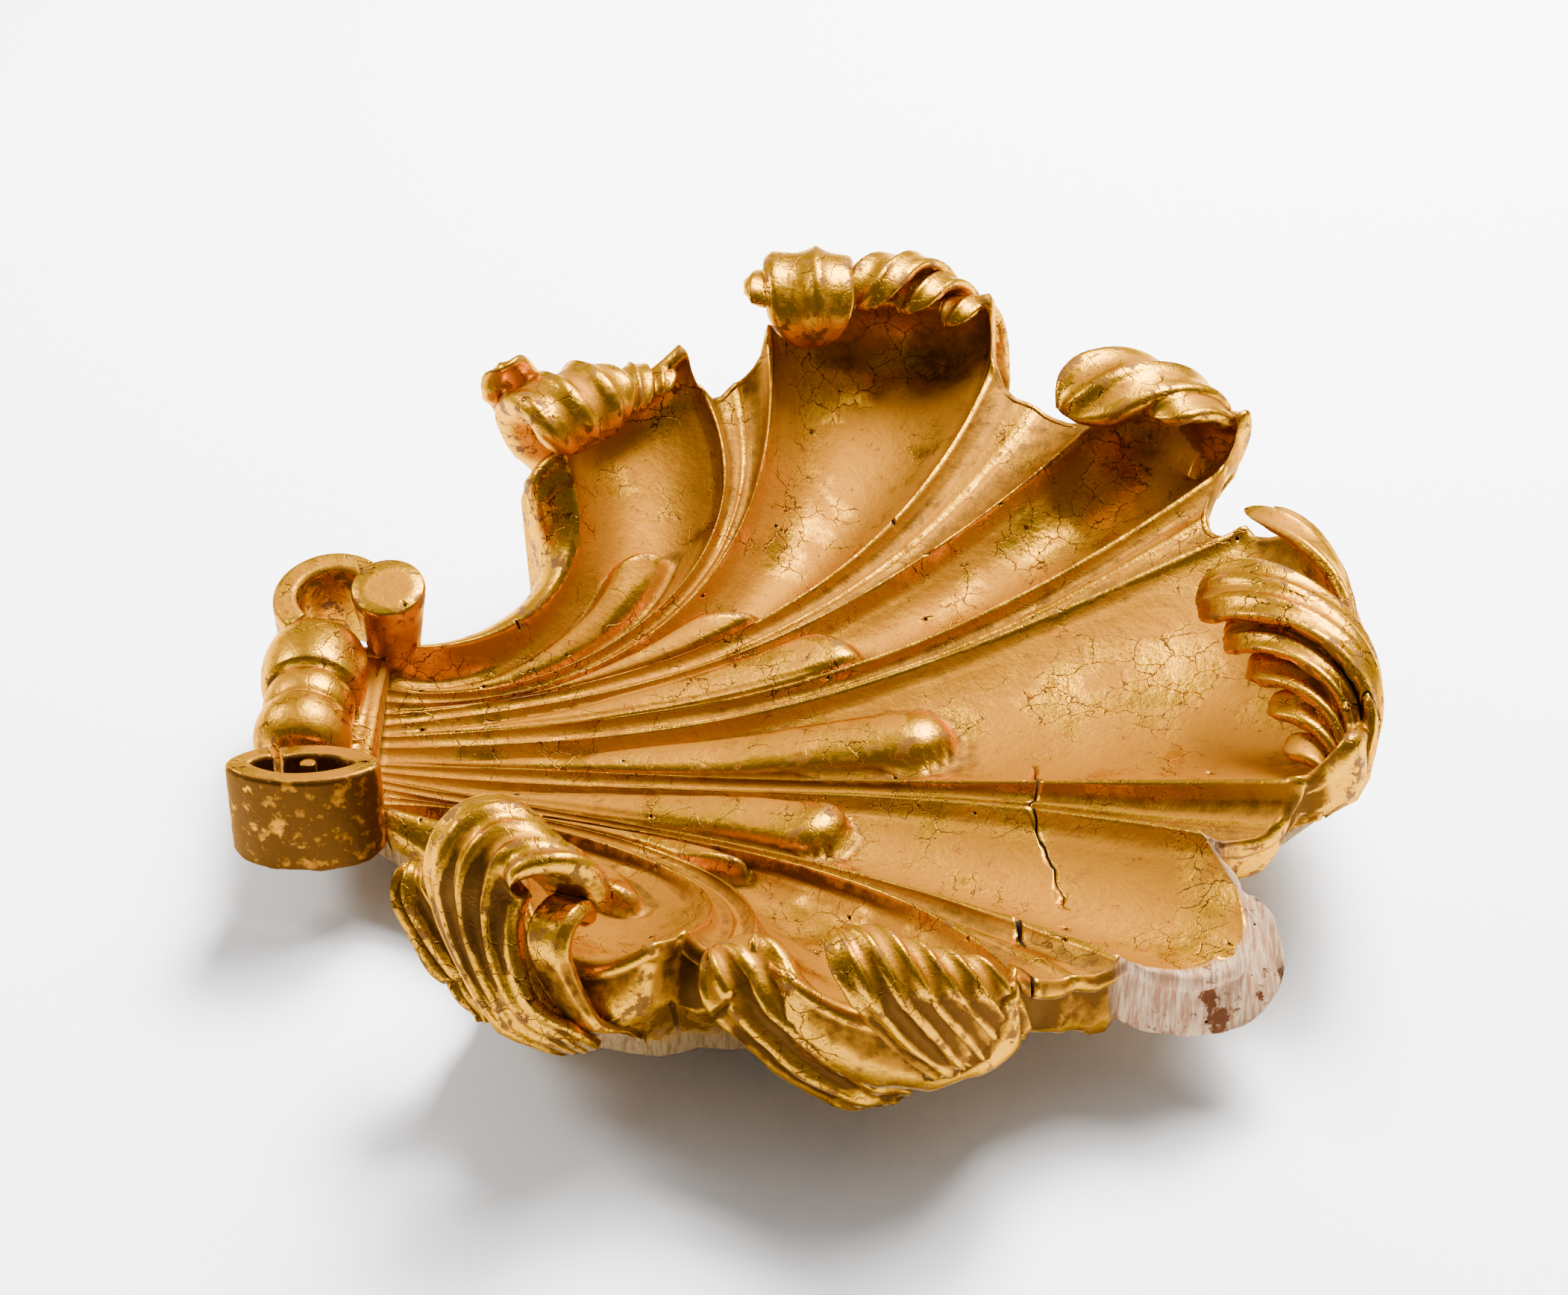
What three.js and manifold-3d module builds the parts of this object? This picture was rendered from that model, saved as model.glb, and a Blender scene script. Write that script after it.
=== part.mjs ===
// Carved shell ornament: a gilded wooden scallop that lies on its flat back.
// Millimetres. +X runs from the scrolled root to the tip of the middle lobe, +Z is the hollow side.
// The origin is the middle of the planed flat on the back.
import * as THREE from 'three';
import { mergeVertices } from 'three/addons/utils/BufferGeometryUtils.js';
import Module from 'manifold-3d';

// Driving dimensions of the fan
const ROOT_X = -236;
const ROOT_HALF_WIDTH = 73;
const ROOT_TOP = 36;
const ROOT_RISE = 14;
const FAN_LENGTH = 500;
const FAN_HALF_WIDTH = 276;
const FLOOR_LEVEL = 33;
const FLUTE_SHARE = 0.3;
const ROOT_DEPTH = 0.3;
const CHANNEL_DEPTH = 11;
const FLUTE_POWER = 2.3;
const CHANNEL_POWER = 3;
const ROOT_FALL_POWER = 4;
const BULGE_START = 0.55;
const BULGE_POWER = 0.8;
const CHANNEL_BULGE_START = 0.7;
const BORDER_WIDTH = 24;
const BORDER_DROP = 16;
const BORDER_ROOT_SHARE = 0.3;
const LEDGE_HEIGHT = 14;
const LEDGE_EDGE = 5;
const LEDGE_FULL_TO = 0.1;
const LEDGE_FADE = 0.75;
const BEAD_FULL_AT = 0.95;
const BEAD_GROWTH_POWER = 0.8;
const BEAD_WIDTH_SHARE = 0.45;
const BEAD_ROUNDNESS = 0.85;

// Driving dimensions of the back
const FLAT_CENTRE_X = 0;
const FLAT_RADIUS = 105;
const BACK_REACH = 320;
const BACK_RISE = 85;
const BACK_POWER = 1.85;
const WALL = 17;

// Driving dimensions of the rim
const LIP_THICKNESS = 11;
const ROLL_ROOT_RATE = 6.4;
const ROLL_TIP_RATE = 14;
const ROLL_EDGE_TURN = 0.25;
const ROLL_EDGE_RADIUS = 0.45;
const LEAST_TURN = 2;
const LEAST_RADIUS = 2;
const FLATTEST_FLOOR = 10;
const STEEPEST_FLOOR = 60;
const ROLL_FADE_RATE = 5;
const EDGE_FOOT_GAP = 0.2;

// Ridges from the middle lobe outwards. Share of the root's half width, heading at the root and at the
// end in degrees, length of the end's straight run, power of the rise, and the end as shares of the fan's
// length and half width and a height. near is the end on the near side where it isn't a mirror image.
const RIDGES = [
  { root: 0.10, from: 2, to: 20, run: 0.46, rise: 2.6, end: [0.996, 0.413, 112] },
  { root: 0.21, from: 7, to: 33, run: 0.42, rise: 2.5, end: [0.984, 0.601, 116], near: [0.904, 0.489, 95] },
  { root: 0.32, from: 13, to: 42, run: 0.46, rise: 2.5, end: [0.852, 0.826, 114], near: [0.81, 0.8, 85] },
  { root: 0.44, from: 12, to: 68, run: 0.40, rise: 2.3, end: [0.728, 1.0, 120], near: [0.694, 0.9, 105] },
  { root: 0.58, from: 0, to: 95, run: 0.46, rise: 2.6, end: [0.454, 1.0, 143], near: [0.442, 0.862, 115] },
  { root: 0.73, from: -12, to: 118, run: 0.42, rise: 2.2, end: [0.378, 0.862, 125],
    near: [0.378, 0.862, 118] },
  { root: 1.0, from: -4, to: 124, run: 0.37, rise: 2.1, end: [0.216, 0.594, 125],
    near: [0.216, 0.594, 118] },
];
const ROOT_RUN = 0.36;

// Lobes from the far side round to the near side: depth and outward bulge at the rim, radius and turn
// of the rolled wall in degrees, thickness at the foot of the rim and its angle below level, where the
// bead ends along the lobe, and the bead's half width. A pair runs from one edge of a lobe to the other.
const LOBES = [
  { depth: 26, bulge: 14, roll: 26, turn: 80, rim: 22, under: 40, beadEnd: 0.75, bead: 20 },
  { depth: 30, bulge: 26, roll: 32, turn: 85, rim: 22, under: 40, beadEnd: 0.54, bead: 19 },
  { depth: 24, bulge: 20, roll: 27, turn: 90, rim: [22, 10], under: [40, 80], beadEnd: 0.56,
    bead: 18 },
  { depth: 26, bulge: 30, roll: 30, turn: 70, rim: [10, 24], under: [70, 40], beadEnd: 0.655,
    bead: 22 },
  { depth: 14, bulge: 46, roll: 20, turn: 6, rim: [28, 42], under: [46, 84], beadEnd: 0.56,
    bead: 18 },
  { depth: 30, bulge: 18, roll: 26, turn: 50, rim: 32, under: 52, beadEnd: 0.54, bead: 18 },
  { depth: 24, bulge: 34, roll: 18, turn: 40, rim: [38, 64], under: [56, 40], beadEnd: 0.75,
    bead: 19 },
];
const CHANNEL_BULGES = [0, 0, -12, 16, 0, 0];
const MIDDLE_LOBE = 3;

// Leaves that curl over the rims, in groups from the root's side of a lobe towards the tip. A pair runs
// from the first leaf of a group to its last, and a single number holds for all. A leaf rises on a
// straight stem outside the rim, then turns over inwards in a crook. foot and tip are places along the
// rim from the lobe's middle, sway is how far the leaf bows aside between them, top is the crook's centre
// above the ridges, and turn is in degrees.
const LEAF_GROUPS = {
  outer: [
    { count: 1, foot: -34, tip: -76, reach: 40, top: 48, stem: 64, crook: 10, rise: 1, turn: 60,
      width: 36, thick: 15 },
    { count: 1, foot: -30, tip: -34, sway: -14, reach: 8, top: 20, stem: 60, crook: 25, rise: 0.95,
      turn: 195, width: 72, thick: 30 },
    { count: 2, foot: [34, 56], tip: [0, 22], reach: [6, 8], top: [6, 0], stem: 50, crook: [22, 20],
      rise: 1, turn: [150, 130], width: [27, 24], thick: [14, 12] },
  ],
  wide: [
    { count: 1, foot: -10, tip: -80, reach: 4, top: 16, stem: 62, crook: 22, rise: 1, turn: 125,
      width: 36, thick: 24 },
    { count: 1, foot: -20, tip: -40, sway: -14, reach: 2, top: 18, stem: 66, crook: 32, rise: 1,
      turn: 200, width: 56, thick: 22 },
    { count: 3, foot: [50, 70], tip: [-16, 37], reach: [8, 16], top: [22, 8], stem: 54, crook: [30, 23],
      rise: 0.95, turn: [160, 140], width: [36, 26], thick: [16, 12] },
  ],
  roll: [
    { count: 2, foot: [16, 26], tip: [-44, 0], reach: [-8, -12], top: [12, 8], stem: 34, crook: 32,
      rise: 0.9, turn: [150, 120], width: [62, 46], thick: [28, 18] },
  ],
  middle: [
    { count: 3, foot: [60, 80], tip: [-80, -84], reach: [-4, 8], top: [24, 18], stem: 34,
      crook: [24, 18], rise: 0.9, turn: [120, 45], width: [20, 18], thick: [13, 12] },
    { count: 2, foot: [96, 104], tip: [-30, -2], reach: [-14, -12], top: [10, 8], stem: 37,
      crook: [48, 37], rise: 0.8, turn: [170, 175], width: [44, 34], thick: [17, 14] },
    { count: 3, foot: [104, 108], tip: [26, 84], reach: [-8, 4], top: [4, -4], stem: 29, crook: [30, 15],
      rise: 0.75, turn: [168, 150], width: [26, 20], thick: [13, 11] },
  ],
  crest: [
    { count: 1, foot: 6, tip: -84, reach: 6, top: -22, stem: 50, crook: 15, rise: 1, turn: 100,
      width: 50, thick: 28 },
    { count: 4, foot: [34, 66], tip: [-24, 26], reach: [12, 8], top: [12, 2], stem: [60, 42],
      crook: [18, 14], rise: 1, turn: [130, 110], width: [38, 28], thick: [22, 14] },
  ],
  volute: [
    { count: 1, foot: -40, tip: -96, reach: 49, top: -12, stem: 60, crook: 8, rise: 1, turn: 60,
      width: 38, thick: 38 },
    { count: 1, foot: 22, tip: 18, sway: -58, reach: 22, top: 20, stem: 68, crook: 26, rise: 1,
      turn: 195, width: 64, thick: 28 },
    { count: 1, foot: 40, tip: 10, sway: -14, reach: 18, top: 10, stem: 60, crook: 16, rise: 1,
      turn: 200, width: 24, thick: 14 },
  ],
};
const LEAVES_OF = ['outer', 'wide', 'roll', 'middle', null, 'crest', 'volute'];
const CROOK_END = 0.92;
const LEAF_SINK = 14;
const LEAF_GROOVE = 0.45;
const LEAF_GROOVE_POWER = 6;
const LEAF_TIP_FROM = 0.8;
const LEAF_TIP_SHARE = 0.2;
const LEAF_FOOT_SHARE = 0.5;

// Scrolled root: a horizontal roll with rings between two upright scrolls. Each ring is the share of the
// roll where it ends and its radius. A scroll's band winds from the angle start to end, both in degrees.
// The scrolls stand over the saddle's two ends, so they take their place from its half length.
const KNUCKLE = { x: -268, z: 76, half: 52, swell: 5, ends: 0.5, steps: 4, sides: 10 };
const KNUCKLE_RINGS = [[0, 28], [0.32, 28], [0.55, 26], [1, 31]];
const SCROLL = { bottom: 42, top: 97, band: 14, tilt: 12, steps: 12 };
const SADDLE = { from: -284, to: -232, half: 84, bottom: 28, top: 58, slope: 6, ends: 0.6, steps: 8 };
const POST_INSET = 2;
const FAR_SCROLL = { side: 1, x: -256, y: SADDLE.half, reachX: 35, reachY: 30, start: 225, end: 60,
  shrink: 0.7, point: 1 };
const NEAR_SCROLL = { side: -1, x: -259, y: SADDLE.half, reachX: 37, reachY: 18, start: 235,
  end: -120, shrink: 0.8, point: 1.3 };
const EYE = { side: 1, x: -230, y: SADDLE.half, top: 22.5, bottom: 14, rise: 4, sides: 14 };
const POST = { side: -1, x: -258, y: SADDLE.half - POST_INSET, top: 5, bottom: 5, rise: -2, sides: 6 };

// How finely the form is cut
const STEPS_ALONG = 9;
const STEPS_LOBE = 8;
const STEPS_CHANNEL = 2;
const STEPS_WALL = 3;
const STEPS_OUTER = 2;
const LEAF_SIDES = 6;
const LEAF_STEPS = 7;

const rad = THREE.MathUtils.degToRad;
const clamp = THREE.MathUtils.clamp;
const mix = THREE.MathUtils.lerp;
const UP = new THREE.Vector3(0, 0, 1);

function smooth(x) {
  const u = clamp(x, 0, 1);
  return u * u * (3 - 2 * u);
}

// Nothing up to the start, then a smooth climb to one at the rim.
const from = (start, t) => smooth((t - start) / (1 - start));

// A ridge line in plan is one cubic curve, and its height falls from the root and climbs to the rim.
function ridgePoint({ ridge, side }, t) {
  const [endX, endY, top] = side < 0 && ridge.near ? ridge.near : ridge.end;
  const start = new THREE.Vector2(ROOT_X, ridge.root * ROOT_HALF_WIDTH);
  const end = new THREE.Vector2(ROOT_X + endX * FAN_LENGTH, endY * FAN_HALF_WIDTH);
  const chord = start.distanceTo(end);
  const heading = (angle, length) =>
    new THREE.Vector2(Math.cos(rad(angle)), Math.sin(rad(angle))).multiplyScalar(length);
  const curve = new THREE.CubicBezierCurve(
    start,
    start.clone().add(heading(ridge.from, ROOT_RUN * chord)),
    end.clone().sub(heading(ridge.to, ridge.run * chord)),
    end,
  );
  const plan = curve.getPoint(t);
  const rootHeight = ROOT_TOP + ROOT_RISE * ridge.root;
  const fall = (rootHeight - FLOOR_LEVEL) * (1 - t) ** ROOT_FALL_POWER;
  const climb = (top - FLOOR_LEVEL) * t ** ridge.rise;
  return new THREE.Vector3(plan.x, side * plan.y, FLOOR_LEVEL + fall + climb);
}

// Fourteen ridges in order: each lobe lies between an even one and the next.
const ORDER = [6, 5, 4, 3, 2, 1, 0, 0, 1, 2, 3, 4, 5, 6].map((row, place) => ({
  ridge: RIDGES[row],
  side: place < 7 ? 1 : -1,
}));

const headingOf = ({ ridge, side }) => side * rad(ridge.to);

// The back is flat in the middle and rises outwards like a shallow dish.
function backHeight(x, y) {
  const reach = Math.hypot(x - FLAT_CENTRE_X, y);
  return BACK_RISE * (Math.max(reach - FLAT_RADIUS, 0) / (BACK_REACH - FLAT_RADIUS)) ** BACK_POWER;
}

// The line that the rim of a lobe follows, at the height of its ridges.
function rimLine(lobe, q) {
  const left = ORDER[2 * lobe];
  const right = ORDER[2 * lobe + 1];
  const angle = mix(headingOf(left), headingOf(right), q);
  const out = new THREE.Vector3(Math.cos(angle), Math.sin(angle), 0);
  const inside = clamp(q, 0, 1);
  const point = ridgePoint(left, 1).lerp(ridgePoint(right, 1), q);
  point.addScaledVector(out, LOBES[lobe].bulge * Math.sin(Math.PI * inside) ** BULGE_POWER);
  return { point, out };
}

// Height of the teardrop bead above the floor, at a distance from the lobe's middle line.
function beadHeight(lobe, t, offset, width) {
  const round = lobe.bead / FAN_LENGTH;
  const body = Math.min(lobe.bead * smooth((BEAD_FULL_AT * t) / lobe.beadEnd) ** BEAD_GROWTH_POWER,
    BEAD_WIDTH_SHARE * width);
  const past = Math.max(t - (lobe.beadEnd - round), 0) / round;
  const half = body * Math.sqrt(Math.max(1 - past * past, 0));
  if (offset >= half) return 0;
  return BEAD_ROUNDNESS * half * Math.sqrt(1 - (offset / half) ** 2);
}

// Height of the wall inside the outermost ridges: full at the root and gone towards the rim.
const ledge = (t) => LEDGE_HEIGHT * (1 - smooth((t - LEDGE_FULL_TO) / LEDGE_FADE));

// Values of the roll at a share of the way across. A channel takes them from the lobes beside it.
function rollAt(place, q) {
  const isLobe = place % 2 === 0;
  const at = (key) => {
    const first = [LOBES[Math.floor(place / 2)][key]].flat();
    const second = [LOBES[Math.ceil(place / 2)][key]].flat();
    return isLobe ? mix(first[0], first[first.length - 1], smooth(q) ** 2)
      : mix(first[first.length - 1], second[0], smooth(q));
  };
  return { turn: at('turn'), roll: at('roll'), rim: at('rim'), under: at('under') };
}

// One closed section of the shell: along the hollow face to the rim, up the rolled wall, over its lip,
// down the outside and back along the underside to the root.
function section(place, q) {
  const left = ORDER[place];
  const right = ORDER[place + 1];
  const isLobe = place % 2 === 0;
  const angle = mix(headingOf(left), headingOf(right), q);
  const out = new THREE.Vector3(Math.cos(angle), Math.sin(angle), 0);
  const lobe = LOBES[place / 2];
  const edges = [place === 0 ? q : 1, place === ORDER.length - 2 ? 1 - q : 1];
  const front = [];
  for (let i = 0; i < STEPS_ALONG; i += 1) {
    const t = (i / (STEPS_ALONG - 1)) ** 0.9;
    const a = ridgePoint(left, t);
    const b = ridgePoint(right, t);
    const width = a.distanceTo(b);
    const point = a.clone().lerp(b, q);
    if (isLobe) {
      const hollow = 1 - Math.abs(2 * q - 1) ** FLUTE_POWER;
      const push = lobe.bulge * Math.sin(Math.PI * q) ** BULGE_POWER;
      point.addScaledVector(out, push * from(BULGE_START, t));
      point.z -= Math.min(FLUTE_SHARE * width, lobe.depth * mix(ROOT_DEPTH, 1, t)) * hollow;
      point.z += beadHeight(lobe, t, Math.abs(q - 0.5) * width, width);
      point.z += ledge(t) * (1 - smooth((Math.min(...edges) * width) / LEDGE_EDGE));
    } else {
      const hollow = 1 - Math.abs(2 * q - 1) ** CHANNEL_POWER;
      const push = CHANNEL_BULGES[(place - 1) / 2] * Math.sin(Math.PI * q);
      point.addScaledVector(out, push * from(CHANNEL_BULGE_START, t));
      point.z -= Math.min(FLUTE_SHARE * width, CHANNEL_DEPTH) * hollow;
    }
    front.push(point);
  }
  const fromRoot = place / 2 <= MIDDLE_LOBE ? q : 1 - q;
  const head = isLobe ? smooth(Math.min(ROLL_ROOT_RATE * fromRoot, ROLL_TIP_RATE * (1 - fromRoot))) : 0;
  const near = isLobe ? 1 : 1 - smooth(ROLL_FADE_RATE * Math.min(q, 1 - q));
  const values = rollAt(place, q);
  const turn = rad(values.turn) * mix(ROLL_EDGE_TURN, 1, head) * near + rad(LEAST_TURN);
  const radius = values.roll * mix(ROLL_EDGE_RADIUS, 1, head) * near + LEAST_RADIUS;
  const end = front[front.length - 1];
  const before = front[front.length - 2];
  const slope = clamp(Math.atan2(end.z - before.z, Math.hypot(end.x - before.x, end.y - before.y)),
    rad(FLATTEST_FLOOR), rad(STEEPEST_FLOOR));
  const centre = end.clone()
    .addScaledVector(out, -radius * Math.sin(slope))
    .addScaledVector(UP, radius * Math.cos(slope));
  const around = (distance, theta) => centre.clone()
    .addScaledVector(out, distance * Math.cos(theta))
    .addScaledVector(UP, distance * Math.sin(theta));
  const start = slope - Math.PI / 2;
  const loop = [...front];
  for (let i = 1; i <= STEPS_WALL; i += 1) loop.push(around(radius, start + (turn * i) / STEPS_WALL));
  const top = start + turn;
  loop.push(around(radius + LIP_THICKNESS / 2, top + LIP_THICKNESS / 2 / (radius + LIP_THICKNESS)));
  const under = -rad(values.under);
  const foot = mix(Math.min(under, top - EDGE_FOOT_GAP), under, head);
  for (let i = 0; i <= STEPS_OUTER; i += 1) {
    const share = i / STEPS_OUTER;
    const distance = radius + mix(LIP_THICKNESS, values.rim, smooth(share));
    loop.push(around(distance, mix(top, foot, share)));
  }
  const last = loop[loop.length - 1];
  for (let i = STEPS_ALONG - 2; i >= 0; i -= 1) {
    const t = (i / (STEPS_ALONG - 1)) ** 0.9;
    const point = front[i].clone();
    point.x += (last.x - end.x) * t ** 3;
    point.y += (last.y - end.y) * t ** 3;
    const under = Math.max(front[i].z - WALL, 0);
    point.z = Math.min(backHeight(point.x, point.y), under);
    loop.push(point);
  }
  return loop;
}

// The border strip outside the first and the last ridge falls away outwards.
function borderSection(place, q, share) {
  const loop = section(place, q);
  const edge = ORDER[q === 0 ? place : place + 1];
  return loop.map((point, i) => {
    const back = i > loop.length - STEPS_ALONG;
    const t = i < STEPS_ALONG ? i / (STEPS_ALONG - 1) : back ? (loop.length - 1 - i) / (STEPS_ALONG - 1) : 1;
    const ahead = ridgePoint(edge, Math.min(t + 0.02, 1));
    const behind = ridgePoint(edge, Math.min(t + 0.02, 1) - 0.04);
    const along = ahead.sub(behind).setZ(0).normalize();
    const away = new THREE.Vector3(-along.y * edge.side, along.x * edge.side, 0);
    const full = mix(BORDER_ROOT_SHARE, 1, smooth(2 * t));
    const moved = point.clone().addScaledVector(away, BORDER_WIDTH * full * share);
    moved.z -= back ? 0 : BORDER_DROP * full * share ** 2;
    return moved;
  });
}

// A closed solid from a row of closed sections, each with as many points.
function loftSolid(loops, capped) {
  const count = loops[0].length;
  const vertices = loops.flat();
  const triangles = [];
  for (let i = 0; i + 1 < loops.length; i += 1) {
    for (let j = 0; j < count; j += 1) {
      const a = i * count + j;
      const b = i * count + ((j + 1) % count);
      triangles.push([a, a + count, b + count], [a, b + count, b]);
    }
  }
  capped(0, count).forEach(([a, b, c]) => triangles.push([a, b, c]));
  const shift = (loops.length - 1) * count;
  capped(0, count).forEach(([a, b, c]) => triangles.push([a + shift, c + shift, b + shift]));
  const inside = triangles.reduce((sum, [a, b, c]) =>
    sum + vertices[a].dot(vertices[b].clone().cross(vertices[c])), 0) < 0;
  const facing = inside ? triangles.map(([a, b, c]) => [a, c, b]) : triangles;
  const geometry = new THREE.BufferGeometry();
  geometry.setAttribute('position',
    new THREE.Float32BufferAttribute(vertices.flatMap((v) => v.toArray()), 3));
  geometry.setIndex(facing.flat());
  return geometry;
}

// End face as a fan from its first point.
const fanCap = (first, count) =>
  Array.from({ length: count - 2 }, (_, i) => [first, first + i + 1, first + i + 2]);

// End face of the shell: strips between the hollow face and the underside, then a fan at the rim.
function stripCap(first, count) {
  const triangles = [];
  const back = (i) => count - 1 - i;
  for (let i = 0; i + 2 < STEPS_ALONG; i += 1) {
    triangles.push([first + i, first + i + 1, first + back(i + 1)]);
    triangles.push([first + i, first + back(i + 1), first + back(i)]);
  }
  const rim = STEPS_ALONG - 2;
  const foot = back(rim);
  for (let i = rim; i + 1 < foot; i += 1) triangles.push([first + i, first + i + 1, first + foot]);
  return triangles;
}

function shellBody() {
  const loops = [borderSection(0, 0, 1), borderSection(0, 0, 0.6)];
  for (let place = 0; place < ORDER.length - 1; place += 1) {
    const steps = place % 2 === 0 ? STEPS_LOBE : STEPS_CHANNEL;
    for (let i = 0; i < steps; i += 1) {
      const q = i / steps;
      loops.push(section(place, q - (0.8 * Math.sin(2 * Math.PI * q)) / (2 * Math.PI)));
    }
  }
  loops.push(section(12, 1), borderSection(12, 1, 0.6), borderSection(12, 1, 1));
  return loftSolid(loops, stripCap);
}

// A ring of points round a place on a leaf: rounded below, with a shallow groove along its face.
function leafRing(centre, across, lift, width, thick) {
  return Array.from({ length: LEAF_SIDES }, (_, i) => {
    const phi = (2 * Math.PI * i) / LEAF_SIDES;
    const rise = Math.sin(phi);
    const groove = rise > 0 ? 1 - LEAF_GROOVE * rise ** LEAF_GROOVE_POWER : 1;
    return centre.clone()
      .addScaledVector(across, (width / 2) * Math.cos(phi))
      .addScaledVector(lift, (thick / 2) * rise * groove);
  });
}

function leafSolid(lobe, group, share) {
  const at = (key, fallback) => {
    const value = group[key] ?? fallback;
    return Array.isArray(value) ? mix(value[0], value[1], share) : value;
  };
  const onNearSide = lobe > MIDDLE_LOBE;
  const span = ridgePoint(ORDER[2 * lobe], 1).distanceTo(ridgePoint(ORDER[2 * lobe + 1], 1));
  const crook = at('crook');
  const stem = at('stem');
  const turn = rad(at('turn'));
  const arc = (crook * (1 + CROOK_END) * turn) / 2;
  const path = (v) => {
    const held = clamp(v, 0, 1);
    const along = mix(at('foot'), at('tip'), held) + at('sway', 0) * Math.sin(Math.PI * held);
    const q = 0.5 + ((onNearSide ? -1 : 1) * along) / span;
    const { point, out } = rimLine(lobe, q);
    const run = v * (stem + arc) - stem;
    const theta = Math.max(run / arc, 0) * turn;
    const radius = crook * mix(1, CROOK_END, theta / turn);
    const lift = out.clone().multiplyScalar(Math.cos(theta)).addScaledVector(UP, Math.sin(theta));
    const sink = LEAF_SINK * (1 - smooth((3 * (run + stem)) / stem));
    const centre = point.clone()
      .addScaledVector(out, at('reach') - sink + radius * Math.cos(theta))
      .addScaledVector(UP, at('top') + Math.min(run, 0) + at('rise') * radius * Math.sin(theta));
    return { centre, lift };
  };
  const rings = [];
  for (let i = 0; i <= LEAF_STEPS; i += 1) {
    const v = i / LEAF_STEPS;
    const { centre, lift } = path(v);
    const tangent = path(v + 0.01).centre.sub(path(v - 0.01).centre).normalize();
    const across = new THREE.Vector3().crossVectors(tangent, lift).normalize();
    const face = new THREE.Vector3().crossVectors(across, tangent).normalize();
    const past = Math.max(v - LEAF_TIP_FROM, 0) / (1 - LEAF_TIP_FROM);
    const tip = Math.max(Math.sqrt(1 - past * past), LEAF_TIP_SHARE);
    const swell = mix(LEAF_FOOT_SHARE, 1, smooth(2 * v)) * tip;
    rings.push(leafRing(centre, across, face, at('width') * swell, at('thick') * swell));
  }
  return loftSolid(rings, fanCap);
}

function leafSolids() {
  return LEAVES_OF.flatMap((name, lobe) => (name ? LEAF_GROUPS[name] : []).flatMap((group) =>
    Array.from({ length: group.count }, (_, i) =>
      leafSolid(lobe, group, group.count > 1 ? i / (group.count - 1) : 0))));
}

// The horizontal roll at the root swells into rings.
function knuckleSolid() {
  const profile = [new THREE.Vector2(0, -KNUCKLE.half)];
  KNUCKLE_RINGS.slice(1).forEach(([end, full], place) => {
    const start = KNUCKLE_RINGS[place][0];
    for (let i = place ? 1 : 0; i <= KNUCKLE.steps; i += 1) {
      const share = i / KNUCKLE.steps;
      const u = mix(start, end, share);
      const round = Math.sqrt(1 - (2 * u - 1) ** 6 * KNUCKLE.ends);
      const swell = Math.max(Math.sin(Math.PI * share), 0) ** 0.4;
      profile.push(new THREE.Vector2((full - KNUCKLE.swell * (1 - swell)) * round,
        mix(-KNUCKLE.half, KNUCKLE.half, u)));
    }
  });
  profile.push(new THREE.Vector2(0, KNUCKLE.half));
  return new THREE.LatheGeometry(profile, KNUCKLE.sides).translate(KNUCKLE.x, 0, KNUCKLE.z);
}

// A scroll's points lean towards the middle, and are mirrored on the near side.
function leaned(point, scroll) {
  const lean = Math.tan(rad(SCROLL.tilt)) * (point.z - SCROLL.bottom);
  const slope = Math.sin(rad(SCROLL.tilt)) * (point.y - scroll.y);
  const raised = point.z > SCROLL.bottom ? slope : 0;
  return new THREE.Vector3(point.x, scroll.side * (point.y - lean * 0.5), point.z + raised);
}

// A scroll is an upright band along a shrinking oval, whose ends a power on the sine draws to points.
function scrollSolid(scroll) {
  const middle = (u) => {
    const alpha = rad(mix(scroll.start, scroll.end, u));
    const shrink = mix(1, scroll.shrink, u ** 2);
    const sine = Math.sign(Math.sin(alpha)) * Math.abs(Math.sin(alpha)) ** scroll.point;
    return new THREE.Vector3(scroll.x + scroll.reachX * shrink * Math.cos(alpha),
      scroll.y + scroll.reachY * shrink * sine, 0);
  };
  const rings = Array.from({ length: SCROLL.steps + 1 }, (_, i) => {
    const u = i / SCROLL.steps;
    const forwards = middle(Math.min(u + 0.02, 1)).sub(middle(Math.max(u - 0.02, 0))).normalize();
    const out = new THREE.Vector3(-forwards.y, forwards.x, 0);
    const corner = (away, z) =>
      leaned(middle(u).addScaledVector(out, (away * SCROLL.band) / 2).setZ(z), scroll);
    return [corner(-1, SCROLL.bottom), corner(1, SCROLL.bottom), corner(1, SCROLL.top),
      corner(-1, SCROLL.top)];
  });
  return loftSolid(rings, fanCap);
}

// A tapered post stands in the middle of a scroll.
function postSolid(post) {
  const ring = (radius, z) => Array.from({ length: post.sides }, (_, i) => {
    const alpha = (2 * Math.PI * i) / post.sides;
    return leaned(new THREE.Vector3(post.x + radius * Math.cos(alpha),
      post.y + radius * Math.sin(alpha), z), post);
  });
  return loftSolid([ring(post.bottom, SCROLL.bottom), ring(post.top, SCROLL.top + post.rise)], fanCap);
}

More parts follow.
